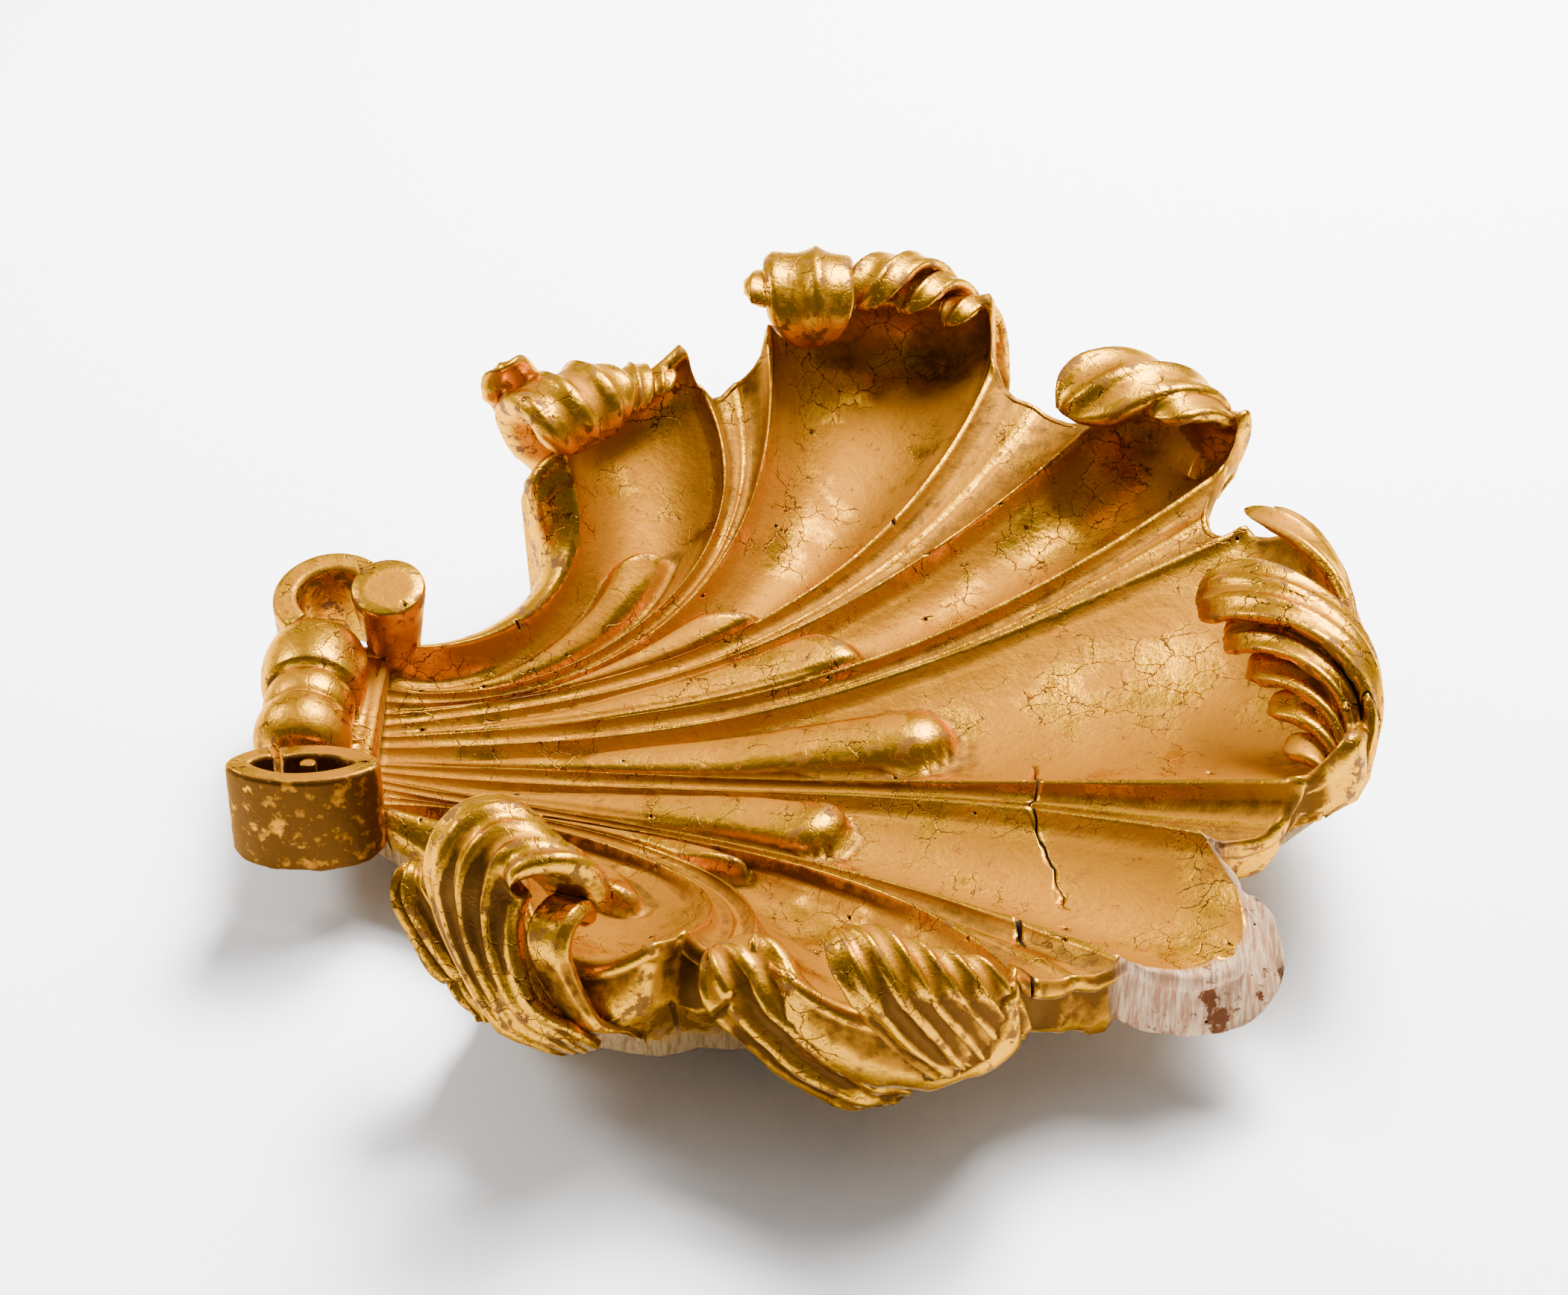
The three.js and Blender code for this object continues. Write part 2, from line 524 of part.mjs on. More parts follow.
// The thick block under the roll is rounded at both sides.
function saddleSolid() {
  const rings = Array.from({ length: SADDLE.steps + 1 }, (_, i) => {
    const u = 2 * (i / SADDLE.steps) - 1;
    const end = Math.sqrt(1 - Math.abs(u) ** 6 * SADDLE.ends);
    const y = u * SADDLE.half;
    const middle = (SADDLE.bottom + SADDLE.top) / 2;
    const half = ((SADDLE.top - SADDLE.bottom) / 2) * end;
    const edge = mix(SADDLE.to, SADDLE.from, end);
    return [new THREE.Vector3(edge, y, middle + half),
      new THREE.Vector3(edge + SADDLE.slope, y, middle - half),
      new THREE.Vector3(SADDLE.to, y, middle - half),
      new THREE.Vector3(SADDLE.to, y, middle)];
  });
  return loftSolid(rings, fanCap);
}

const wasm = await Module();
wasm.setup();

function toManifold(geometry) {
  geometry.deleteAttribute('normal');
  geometry.deleteAttribute('uv');
  const merged = mergeVertices(geometry, 1e-4);
  return new wasm.Manifold(new wasm.Mesh({
    numProp: 3,
    vertProperties: new Float32Array(merged.attributes.position.array),
    triVerts: new Uint32Array(merged.index.array),
  }));
}

function toGeometry(solid) {
  const mesh = solid.getMesh();
  const geometry = new THREE.BufferGeometry();
  geometry.setAttribute('position', new THREE.BufferAttribute(new Float32Array(mesh.vertProperties), 3));
  geometry.setIndex(new THREE.BufferAttribute(new Uint32Array(mesh.triVerts), 1));
  geometry.computeVertexNormals();
  return geometry;
}

const gold = new THREE.MeshStandardMaterial({ color: 0xc8912f, roughness: 0.38, metalness: 0.75 });
const pieces = [shellBody(), ...leafSolids(), knuckleSolid(), saddleSolid(), scrollSolid(FAR_SCROLL),
  scrollSolid(NEAR_SCROLL), postSolid(EYE), postSolid(POST)];
const solids = pieces.map(toManifold);
const joined = solids.reduce((whole, solid) => whole.add(solid));
const shell = new THREE.Mesh(toGeometry(joined), gold);
shell.name = 'carved_shell';

const part = new THREE.Group();
part.add(shell);

export default part;
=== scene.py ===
# %% [markdown]
# # A gilded shell, carved from one block
#
# The real object is one piece of carved wood, coated with gesso and bole and covered with gold leaf.
# It is a scallop: seven hollow lobes fan out from a scrolled root, each holds a teardrop bead, and their
# rims curl over into leaves. It could be sculpted by hand in Blender, but here every surface is worked
# out as whole numpy arrays, because the ribs, hollows and leaves follow a few simple curves. The packed
# model gives the frame, and the fine mesh made here stands in for its one node.

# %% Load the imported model
import math

import bpy
import numpy as np
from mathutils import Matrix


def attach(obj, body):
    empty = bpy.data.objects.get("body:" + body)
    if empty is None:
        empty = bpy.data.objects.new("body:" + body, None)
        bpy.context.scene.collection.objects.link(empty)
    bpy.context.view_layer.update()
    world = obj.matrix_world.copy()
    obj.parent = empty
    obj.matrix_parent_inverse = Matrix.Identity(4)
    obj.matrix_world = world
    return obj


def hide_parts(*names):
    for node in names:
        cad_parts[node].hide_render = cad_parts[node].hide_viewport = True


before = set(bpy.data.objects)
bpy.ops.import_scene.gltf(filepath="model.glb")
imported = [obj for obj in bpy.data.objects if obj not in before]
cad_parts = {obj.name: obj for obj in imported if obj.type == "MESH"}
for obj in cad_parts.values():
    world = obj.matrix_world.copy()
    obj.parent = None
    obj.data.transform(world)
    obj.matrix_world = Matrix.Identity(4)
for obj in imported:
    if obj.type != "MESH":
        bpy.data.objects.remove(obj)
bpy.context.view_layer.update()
NODE = "carved_shell"
MM = 0.001

# %% [markdown]
# ## Camera
#
# The photo looks down on the lying shell from the near side, with the root on the left. The camera is
# made first, so that every later render already shows the photo's view. It is a 70 mm lens aimed a
# little above the floor.

# %% Camera at the photo's angle
VIEW_ELEVATION = math.radians(37.0)
VIEW_DISTANCE = 1.700
VIEW_TARGET = (0.0, 0.0, 0.115)
LENS_MM = 70.0

camera_data = bpy.data.cameras.new("camera")
camera_data.lens = LENS_MM
camera_data.sensor_width = 36.0
camera = bpy.data.objects.new("camera", camera_data)
camera.location = (
    VIEW_TARGET[0],
    VIEW_TARGET[1] - VIEW_DISTANCE * math.cos(VIEW_ELEVATION),
    VIEW_TARGET[2] + VIEW_DISTANCE * math.sin(VIEW_ELEVATION),
)
camera.rotation_euler = (math.pi / 2 - VIEW_ELEVATION, 0.0, 0.0)
bpy.context.scene.collection.objects.link(camera)
bpy.context.scene.camera = camera
print("camera at", tuple(round(v, 3) for v in camera.location))

# %% [markdown]
# ## Ridges
#
# Fourteen ridges part the lobes from the narrow channels between them. Each one is a cubic Bezier curve
# in plan, from the root to its end at the rim, with a height that dips after the root and climbs to the
# rim. The near half mirrors the far half, but its ridges end a little shorter and lower. Working from
# curves keeps the ridges crisp and flowing, which is what the eye reads first on a carved shell.

# %% Ridge curves
ROOT_X = -236.0
ROOT_HALF_WIDTH = 73.0
ROOT_TOP = 36.0
ROOT_RISE = 14.0
ROOT_RUN = 0.36
FAN_LENGTH = 500.0
FAN_HALF_WIDTH = 276.0
FLOOR_LEVEL = 33.0
UP = np.array([0.0, 0.0, 1.0])

# One row a ridge, from the middle outwards: its place on the root as a share of the half width, headings
# at both ends in degrees, length of the straight run into the rim, power of its climb, and its ends on
# the far and the near side as shares of the fan's length and half width and a height in mm.
RIDGE_KEYS = ("root", "start", "to", "run", "rise", "end", "near")
RIDGES = [dict(zip(RIDGE_KEYS, row)) for row in [
    (0.10, 2, 20, 0.46, 2.6, (0.996, 0.413, 112), (0.996, 0.413, 112)),
    (0.21, 7, 33, 0.42, 2.5, (0.984, 0.601, 116), (0.904, 0.489, 95)),
    (0.32, 13, 42, 0.46, 2.5, (0.852, 0.826, 114), (0.81, 0.80, 85)),
    (0.44, 12, 68, 0.40, 2.3, (0.728, 1.0, 120), (0.694, 0.90, 105)),
    (0.58, 0, 95, 0.46, 2.6, (0.454, 1.0, 143), (0.442, 0.862, 115)),
    (0.73, -12, 118, 0.42, 2.2, (0.378, 0.862, 125), (0.378, 0.862, 118)),
    (1.0, -4, 124, 0.37, 2.1, (0.216, 0.594, 125), (0.216, 0.594, 118)),
]]
ORDER = [(row, 1) for row in (6, 5, 4, 3, 2, 1, 0)] + [(row, -1) for row in (0, 1, 2, 3, 4, 5, 6)]


def smooth(x):
    """The smooth step 3u^2 - 2u^3 of x held between 0 and 1."""
    u = np.clip(x, 0.0, 1.0)
    return u * u * (3.0 - 2.0 * u)


def mix(a, b, share):
    """The value a share of the way from a to b."""
    return a + (b - a) * share


def heading(angle):
    """Level unit vectors for angles in radians, measured from +X."""
    angle = np.asarray(angle, float)
    return np.stack([np.cos(angle), np.sin(angle), np.zeros_like(angle)], -1)


def ridge_line(place, t):
    """Points of one ridge for shares t of its length: a cubic Bezier curve in plan, and a height that is
    the floor level plus a fall of (1 - t)^4 from the root plus a climb of t to a power."""
    row, side = ORDER[place]
    ridge = RIDGES[row]
    end_x, end_y, top = ridge["near" if side < 0 else "end"]
    t = np.asarray(t, float)[:, None]
    start = np.array([ROOT_X, ridge["root"] * ROOT_HALF_WIDTH, 0.0])
    end = np.array([ROOT_X + end_x * FAN_LENGTH, end_y * FAN_HALF_WIDTH, 0.0])
    chord = np.linalg.norm(end - start)
    first = start + ROOT_RUN * chord * heading(math.radians(ridge["start"]))
    second = end - ridge["run"] * chord * heading(math.radians(ridge["to"]))
    s = 1.0 - t
    points = s**3 * start + 3 * s**2 * t * first + 3 * s * t**2 * second + t**3 * end
    root_height = ROOT_TOP + ROOT_RISE * ridge["root"]
    t = t[:, 0]
    fall = (root_height - FLOOR_LEVEL) * (1.0 - t) ** 4
    points[:, 2] = FLOOR_LEVEL + fall + (top - FLOOR_LEVEL) * np.maximum(t, 0.0) ** ridge["rise"]
    points[:, 1] *= side
    return points


def ridge_heading(place):
    """Heading of a ridge at the rim, in radians."""
    row, side = ORDER[place]
    return side * math.radians(RIDGES[row]["to"])


print("ridges", len(ORDER))

# %% [markdown]
# ## Lobes, channels and the rolled rim
#
# A lobe is a hollow between two ridges. Its cross-section is a flat-bottomed curve that falls away from
# a rounded rib at each ridge, with a teardrop bead standing on its middle line. A channel is a narrow
# hollow between two lobes with a small fillet in it. At the rim the lobe's floor turns up into a rolled
# wall, goes over a rounded lip and comes down outside, and the underside runs back to the root. The
# whole shell is therefore a row of closed sections, which makes one closed skin with no seam.

# %% Values of the lobes
FLUTE_SHARE = 0.3
ROOT_DEPTH = 0.3
CHANNEL_DEPTH = 11.0
BORDER_WIDTH = 24.0
BORDER_DROP = 16.0
FLAT_RADIUS = 105.0
BACK_REACH = 320.0
BACK_RISE = 85.0
BACK_POWER = 1.85
WALL = 17.0
LIP_THICKNESS = 11.0
RIB_HEIGHT = 2.0
RIB_WIDTH = 3.2
QUIRK_DEPTH = 1.1
QUIRK_PLACE = 6.5

# One row a lobe, from the far side of the root to the near side, in mm and degrees. A pair holds the
# values at the lobe's first and second edge.
LOBE_KEYS = ("depth", "bulge", "roll", "turn", "rim", "under", "bead_end", "bead")
LOBES = [dict(zip(LOBE_KEYS, row)) for row in [
    (26, 14, 26, 80, 22, 40, 0.75, 20),
    (30, 26, 32, 85, 22, 40, 0.57, 21),
    (24, 20, 27, 90, (22, 10), (40, 80), 0.61, 21),
    (26, 30, 30, 70, (10, 24), (70, 40), 0.70, 25),
    (14, 46, 20, 6, (28, 42), (46, 84), 0.63, 21),
    (30, 18, 26, 50, 32, 52, 0.59, 20),
    (24, 34, 18, 40, (38, 64), (56, 40), 0.75, 19),
]]
BEAD_FULLNESS = 0.95
CHANNEL_BULGES = [0, 0, -12, 16, 0, 0]
ROLL_ROOT_RATE = 6.4
ROLL_TIP_RATE = 14.0
LEDGE_HEIGHT = 14.0
LEDGE_EDGE = 5.0
ROLL_KEYS = ("turn", "roll", "rim", "under")
MIDDLE_LOBE = 3
BROKEN_LOBE = 4

# How finely the skin is cut along a section and across the fan
STEPS_ALONG = 96
STEPS_WALL = 14
STEPS_LIP = 8
STEPS_OUTER = 12
STEPS_BACK = 24
STEPS_LOBE = 40
STEPS_CHANNEL = 12


def rim_ends(lobe):
    """Where a lobe's two ridges meet the rim."""
    return ridge_line(2 * lobe, [1.0])[0], ridge_line(2 * lobe + 1, [1.0])[0]


def rim_line(lobe, q):
    """The rim of a lobe at shares q from its first ridge to its second: the straight line between the
    ridge ends, bulged outwards by a half sine wave. Gives the points and the outward unit vectors."""
    q = np.atleast_1d(np.asarray(q, float))
    start, end = rim_ends(lobe)
    out = heading(mix(ridge_heading(2 * lobe), ridge_heading(2 * lobe + 1), q))
    bulge = LOBES[lobe]["bulge"] * np.sin(np.pi * np.clip(q, 0.0, 1.0)) ** 0.8
    return mix(start, end, q[:, None]) + out * bulge[:, None], out


def bead_height(lobe, t, offset, width):
    """Height of the teardrop bead: half an ellipse across, whose half width grows along the lobe as a
    smooth step and closes as a quarter circle at the bead's round end."""
    length = lobe["bead"] / FAN_LENGTH
    body = np.minimum(lobe["bead"] * smooth(0.95 * t / lobe["bead_end"]) ** 0.8, 0.45 * width)
    past = np.maximum(t - (lobe["bead_end"] - length), 0.0) / length
    half = body * np.sqrt(np.maximum(1.0 - past * past, 0.0)) + 1e-6
    return BEAD_FULLNESS * half * np.sqrt(np.maximum(1.0 - (offset / half) ** 2, 0.0))


def back_height(x, y):
    """Height of the underside: flat in the middle, rising outwards as a power of the distance."""
    reach = np.maximum(np.hypot(x, y) - FLAT_RADIUS, 0.0)
    return BACK_RISE * (reach / (BACK_REACH - FLAT_RADIUS)) ** BACK_POWER


def rib(distance):
    """A rounded rib on the ridge and a fine quirk beside it: a Gaussian bump minus a narrower one."""
    bump = RIB_HEIGHT * np.exp(-((distance / RIB_WIDTH) ** 2))
    return bump - QUIRK_DEPTH * np.exp(-(((distance - QUIRK_PLACE) / 1.7) ** 2))


def ledge(t):
    """Height of the wall inside the outermost ridges: full at the root, gone towards the rim."""
    return LEDGE_HEIGHT * (1.0 - smooth((t - 0.1) / 0.75))


def along_shares(count):
    """Shares along a section, a little closer together at the rim."""
    return np.linspace(0.0, 1.0, count) ** 0.9


def edge_values(lobe, key):
    """A lobe's value at its two edges: a pair as it stands, a single number twice."""
    value = lobe[key]
    return value if isinstance(value, tuple) else (value, value)


def fan_sections(place, q):
    """Closed sections of the shell between two ridges, one for each share q across."""
    q = np.asarray(q, float)
    t = along_shares(STEPS_ALONG)
    is_lobe = place % 2 == 0
    left, right = ridge_line(place, t), ridge_line(place + 1, t)
    width = np.linalg.norm(right - left, axis=1)
    out = heading(mix(ridge_heading(place), ridge_heading(place + 1), q))
    front = left[None] + (right - left)[None] * q[:, None, None]
    edge = np.minimum(q, 1.0 - q)[:, None] * width[None]
    fade = smooth(t * 6.0)[None]
    if is_lobe:
        lobe = LOBES[place // 2]
        hollow = 1.0 - np.abs(2.0 * q - 1.0) ** 2.3
        push = lobe["bulge"] * np.sin(np.pi * q) ** 0.8
        front += out[:, None] * push[:, None, None] * smooth((t - 0.55) / 0.45)[None, :, None]
        depth = np.minimum(FLUTE_SHARE * width, lobe["depth"] * mix(ROOT_DEPTH, 1.0, t))
        front[..., 2] -= depth[None] * hollow[:, None]
        offset = np.abs(q - 0.5)[:, None] * width[None]
        front[..., 2] += bead_height(lobe, t[None], offset, width[None])
        if place in (0, len(ORDER) - 2):
            inwards = (q if place == 0 else 1.0 - q)[:, None] * width[None]
            front[..., 2] += ledge(t)[None] * (1.0 - smooth(inwards / LEDGE_EDGE))
        from_root = q if place // 2 <= MIDDLE_LOBE else 1.0 - q
        head = smooth(np.minimum(ROLL_ROOT_RATE * from_root, ROLL_TIP_RATE * (1.0 - from_root)))
        near = np.ones_like(q)
        rolls = {key: mix(*edge_values(lobe, key), smooth(q) ** 2) for key in ROLL_KEYS}
    else:
        push = CHANNEL_BULGES[place // 2] * np.sin(np.pi * q)
        front += out[:, None] * push[:, None, None] * smooth((t - 0.7) / 0.3)[None, :, None]
        hollow = 1.0 - np.abs(2.0 * q - 1.0) ** 3
        front[..., 2] -= np.minimum(FLUTE_SHARE * width, CHANNEL_DEPTH)[None] * hollow[:, None]
        fillet = np.exp(-(((q - 0.42) / 0.09) ** 2))
        front[..., 2] += (np.minimum(0.1 * width, 3.0) * smooth(2.5 * t))[None] * fillet[:, None]
        first, second = LOBES[place // 2], LOBES[place // 2 + 1]
        head, near = np.zeros_like(q), 1.0 - smooth(5.0 * np.minimum(q, 1.0 - q))
        share = smooth(q)
        rolls = {key: mix(edge_values(first, key)[1], edge_values(second, key)[0], share)
                 for key in ROLL_KEYS}
    front[..., 2] += rib(edge) * fade * np.minimum(width / 30.0, 1.0)[None]
    return wrap_round_rim(front, out, head, near, rolls)


def wrap_round_rim(front, out, head, near, rolls):
    """Carries the hollow face round the rim: an arc of the roll's radius up the wall, a half circle over
    the lip, an arc of growing radius down the outside, then the underside back to the root."""
    turn = np.radians(rolls["turn"]) * (0.25 + 0.75 * head) * near + math.radians(2.0)
    radius = rolls["roll"] * (0.45 + 0.55 * head) * near + 2.0
    end, before = front[:, -1], front[:, -4]
    run = np.hypot(end[:, 0] - before[:, 0], end[:, 1] - before[:, 1])
    slope = np.clip(np.arctan2(end[:, 2] - before[:, 2], run), math.radians(10), math.radians(60))
    centre = end - out * (radius * np.sin(slope))[:, None] + UP * (radius * np.cos(slope))[:, None]

    def around(distance, theta):
        return (centre[:, None] + out[:, None] * (distance * np.cos(theta))[..., None]
                + UP * (distance * np.sin(theta))[..., None])

    start = (slope - np.pi / 2)[:, None]
    share = np.linspace(0.0, 1.0, STEPS_WALL + 1)[None, 1:]
    wall = around(radius[:, None] + 0.0 * share, start + turn[:, None] * share)
    top = start[:, 0] + turn
    lip_angle = np.linspace(0.0, np.pi, STEPS_LIP + 2)[None, 1:-1]
    half = LIP_THICKNESS / 2
    lip_radius = radius[:, None] + half - half * np.cos(lip_angle)
    lip = around(lip_radius, top[:, None] + half * np.sin(lip_angle) / lip_radius)
    under = -np.radians(rolls["under"])
    foot = mix(np.minimum(under, top - 0.2), under, head)
    share = np.linspace(0.0, 1.0, STEPS_OUTER)[None]
    outer_radius = radius[:, None] + mix(LIP_THICKNESS, rolls["rim"][:, None], smooth(share))
    outside = around(outer_radius, mix(top[:, None], foot[:, None], share))
    last = outside[:, -1]
    t = along_shares(STEPS_BACK + 1)[:-1][::-1]
    along = along_shares(STEPS_ALONG)
    under = np.stack([np.stack([np.interp(t, along, column[:, axis]) for axis in range(3)], -1)
                      for column in front])
    shift = (last - end)[:, None, :2] * (t**3)[None, :, None]
    under[..., :2] += shift
    floor = np.maximum(under[..., 2] - WALL, 0.0)
    under[..., 2] = np.minimum(back_height(under[..., 0], under[..., 1]), floor)
    return np.concatenate([front, wall, lip, outside, under], axis=1)


def border_sections(place, q, shares):
    """The border strip outside the first or last ridge: the ridge's own section moved outwards in plan,
    and lowered as the square of the share."""
    section = fan_sections(place, [q])[0]
    ridge_place = place if q == 0 else place + 1
    side = ORDER[ridge_place][1]
    count = len(section)
    t = np.ones(count)
    t[:STEPS_ALONG] = along_shares(STEPS_ALONG)
    t[count - STEPS_BACK:] = along_shares(STEPS_BACK + 1)[:-1][::-1]
    is_back = np.arange(count) >= count - STEPS_BACK
    ahead = np.minimum(t + 0.02, 1.0)
    along = ridge_line(ridge_place, ahead) - ridge_line(ridge_place, ahead - 0.04)
    along[:, 2] = 0.0
    along /= np.linalg.norm(along, axis=1)[:, None]
    away = np.stack([-along[:, 1], along[:, 0], 0 * t], -1) * side
    grown = 0.3 + 0.7 * smooth(2 * t)
    loops = []
    for share in shares:
        loop = section + away * (BORDER_WIDTH * grown * share)[:, None]
        loop[:, 2] -= np.where(is_back, 0.0, BORDER_DROP * share**2 * grown)
        loops.append(loop)
    return np.array(loops)


def bunched(count):
    """Shares from 0 up to but not including 1, closer together near both ends and in the middle."""
    q = np.linspace(0.0, 1.0, count, endpoint=False)
    return q - 0.55 * np.sin(4 * np.pi * q) / (4 * np.pi)


# %% [markdown]
# ## From a grid to a closed mesh
#
# Every piece of the carving is a grid of points that closes on itself one way and is capped at both
# ends the other way. One helper turns such a grid into a mesh. Its faces are flipped as a whole if the
# volume they enclose comes out negative, so that normals always point outwards.

# %% Grid helpers
def grid_faces(rows, columns, first_cap, last_cap):
    """Triangles of a grid whose rows close on themselves, plus a cap on the first and last row."""
    index = np.arange(rows * columns).reshape(rows, columns)
    a, b = index[:-1], index[1:]
    c, d = np.roll(b, -1, 1), np.roll(a, -1, 1)
    quads = np.stack([a, b, c, d], -1).reshape(-1, 4)
    triangles = np.concatenate([quads[:, [0, 1, 2]], quads[:, [0, 2, 3]]])
    shift = (rows - 1) * columns
    return np.concatenate([triangles, first_cap, (last_cap + shift)[:, ::-1]])


def fan_cap(count):
    """Triangles of an end face, as a fan from its first point."""
    i = np.arange(1, count - 1)
    return np.stack([0 * i, i, i + 1], -1)


def strip_cap(count):
    """The shell's end face: a strip joins the hollow side to the underside, with a fan at the rim."""
    front = np.arange(STEPS_ALONG)
    back = np.interp(along_shares(STEPS_ALONG), along_shares(STEPS_BACK + 1)[:-1],
                     count - 1 - np.arange(STEPS_BACK)).round().astype(int)
    upper = np.stack([front[:-1], front[1:], back[1:]], -1)
    lower = np.stack([front[:-1], back[1:], back[:-1]], -1)
    lower = lower[lower[:, 1] != lower[:, 2]]
    i = np.arange(STEPS_ALONG - 1, count - STEPS_BACK)
    rim = np.stack([i, i + 1, np.full_like(i, count - STEPS_BACK)], -1)
    return np.concatenate([upper, lower, rim[:-1]])


def make_object(name, points, triangles):
    """A mesh object at the origin from points in millimetres, with its faces pointing out."""
    a, b, c = (points[triangles[:, i]] for i in range(3))
    if np.einsum("ij,ij->i", a, np.cross(b, c)).sum() < 0:
        triangles = triangles[:, ::-1]
    mesh = bpy.data.meshes.new(name)
    mesh.vertices.add(len(points))
    mesh.vertices.foreach_set("co", (points * MM).ravel())
    mesh.loops.add(3 * len(triangles))
    mesh.loops.foreach_set("vertex_index", triangles.ravel())
    mesh.polygons.add(len(triangles))
    mesh.polygons.foreach_set("loop_start", np.arange(0, 3 * len(triangles), 3))
    mesh.update(calc_edges=True)
    mesh.validate()
    piece = bpy.data.objects.new(name, mesh)
    bpy.context.scene.collection.objects.link(piece)
    return piece


def make_tube(name, rings):
    """A closed tube through rings of points, with fan caps."""
    rings = np.asarray(rings, float)
    rows, columns = rings.shape[:2]
    caps = fan_cap(columns)
    return make_object(name, rings.reshape(-1, 3), grid_faces(rows, columns, caps, caps))


# %% The shell's skin
def shell_body():
    """All sections of the fan in order, with the border strips at both ends."""
    border = np.linspace(1.0, 0.2, 5)
    rows = [border_sections(0, 0, border)]
    for place in range(len(ORDER) - 1):
        rows.append(fan_sections(place, bunched(STEPS_LOBE if place % 2 == 0 else STEPS_CHANNEL)))
    rows.append(fan_sections(len(ORDER) - 2, [1.0]))
    rows.append(border_sections(len(ORDER) - 2, 1, border[::-1]))
    grid = np.concatenate(rows)
    rows, columns = grid.shape[:2]
    cap = strip_cap(columns)
    return make_object("shell_gilded", grid.reshape(-1, 3), grid_faces(rows, columns, cap, cap))


shell = shell_body()
print("shell skin", len(shell.data.polygons), "triangles")

# %% [markdown]
# ## Leaves that curl over the rims
#
# Each lobe but one ends in a bundle of leaf tongues. A tongue rises on a straight stem outside the rim
# and turns over inwards in a crook of slowly shrinking radius, while its place along the rim drifts from
# its foot to its tip. Its cross-section is an oval whose outer face is gouged into flutes with crisp
# edges between them, which twist a little along the leaf, and its end closes to a blunt hook.

# %% Leaf groups
# One row a group of leaves: foot and tip are places along the rim in mm from the lobe's middle and sway
# is the bow between them, reach is outwards, top is the height of the crook's centre above the ridges,
# and turn is in degrees. A pair holds the values of the group's first and last leaf.
LEAF_KEYS = ("count", "foot", "tip", "sway", "reach", "top", "stem", "crook", "rise", "turn", "width",
             "thick", "flutes")
LEAF_ROWS = {
    "outer": [
        (1, -34, -76, 0, 40, 48, 64, 10, 1.0, 60, 36, 15, 2),
        (1, -30, -34, -14, 8, 20, 60, 25, 0.95, 195, 72, 30, 3),
        (2, (34, 56), (0, 22), 0, (6, 8), (6, 0), 50, (22, 20), 1.0, (150, 130), (27, 24), (14, 12), 2),
    ],
    "wide": [
        (1, -10, -80, 0, 4, 16, 62, 22, 1.0, 125, 36, 24, 1),
        (1, -20, -40, -14, 2, 18, 66, 32, 1.0, 200, 56, 22, 2),
        (3, (50, 70), (-16, 37), 0, (8, 16), (22, 8), 54, (30, 23), 0.95, (160, 140), (36, 26),
         (16, 12), 2),
    ],
    "roll": [
        (2, (16, 26), (-44, 0), 0, (-8, -12), (12, 8), 34, 32, 0.9, (150, 120), (62, 46), (28, 18), 2),
    ],
    "middle": [
        (3, (60, 80), (-80, -84), 0, (-4, 8), (24, 18), 34, (24, 18), 0.9, (120, 45), (20, 18),
         (13, 12), 1),
        (2, (96, 104), (-30, -2), 0, (-14, -12), (10, 8), 37, (48, 37), 0.8, (170, 175), (44, 34),
         (17, 14), 3),
        (3, (104, 108), (26, 84), 0, (-8, 4), (4, -4), 29, (30, 15), 0.75, (168, 150), (26, 20),
         (13, 11), 1),
    ],
    "crest": [
        (1, 6, -84, 0, 6, -22, 50, 15, 1.0, 100, 50, 28, 3),
        (4, (34, 66), (-24, 26), 0, (12, 8), (12, 2), (60, 42), (18, 14), 1.0, (130, 110), (38, 28),
         (22, 14), 3),
    ],
    "volute": [
        (1, -40, -96, 0, 49, -12, 60, 8, 1.0, 60, 38, 38, 3),
        (1, 22, 18, -58, 22, 20, 68, 26, 1.0, 195, 64, 28, 4),
        (1, 40, 10, -14, 18, 10, 60, 16, 1.0, 200, 24, 14, 1),
    ],
}
LEAF_GROUPS = {name: [dict(zip(LEAF_KEYS, row)) for row in rows] for name, rows in LEAF_ROWS.items()}
LEAVES_OF = ["outer", "wide", "roll", "middle", None, "crest", "volute"]
CROOK_END = 0.92
LEAF_SINK = 14.0
LEAF_TIP_FROM = 0.78
FLUTE_DEPTH = 0.46
FLUTE_TWIST = 0.18
LEAF_STEPS = 34
LEAF_SIDES = 34


def unit(vectors):
    """Vectors scaled to length one."""
    return vectors / np.maximum(np.linalg.norm(vectors, axis=-1, keepdims=True), 1e-9)


def leaf_profile(flutes, turned):
    """The outline of a leaf across, as (across, lift) pairs from -1 to 1. The outer face, where lift is
    positive, is an ellipse cut by a row of hollows |sin|^0.8, moved sideways by the share turned."""
    upper = LEAF_SIDES * 3 // 4
    lower = LEAF_SIDES - upper
    phi = np.concatenate([np.linspace(0.0, np.pi, upper, endpoint=False),
                          np.linspace(np.pi, 2 * np.pi, lower, endpoint=False)])
    across, lift = np.cos(phi), np.sin(phi)
    wave = np.abs(np.sin(np.pi * (flutes * (across + 1.0) / 2.0 + turned))) ** 0.8
    hollow = FLUTE_DEPTH * wave * np.sqrt(np.maximum(lift, 0.0))
    return np.stack([across, np.sign(lift) * np.abs(lift) ** 0.85 * (1.0 - hollow)], -1)


def leaf_value(group, key, share):
    """A value of a group at a share from its first leaf to its last. A single number holds for all."""
    value = group[key]
    return mix(*value, share) if isinstance(value, tuple) else value


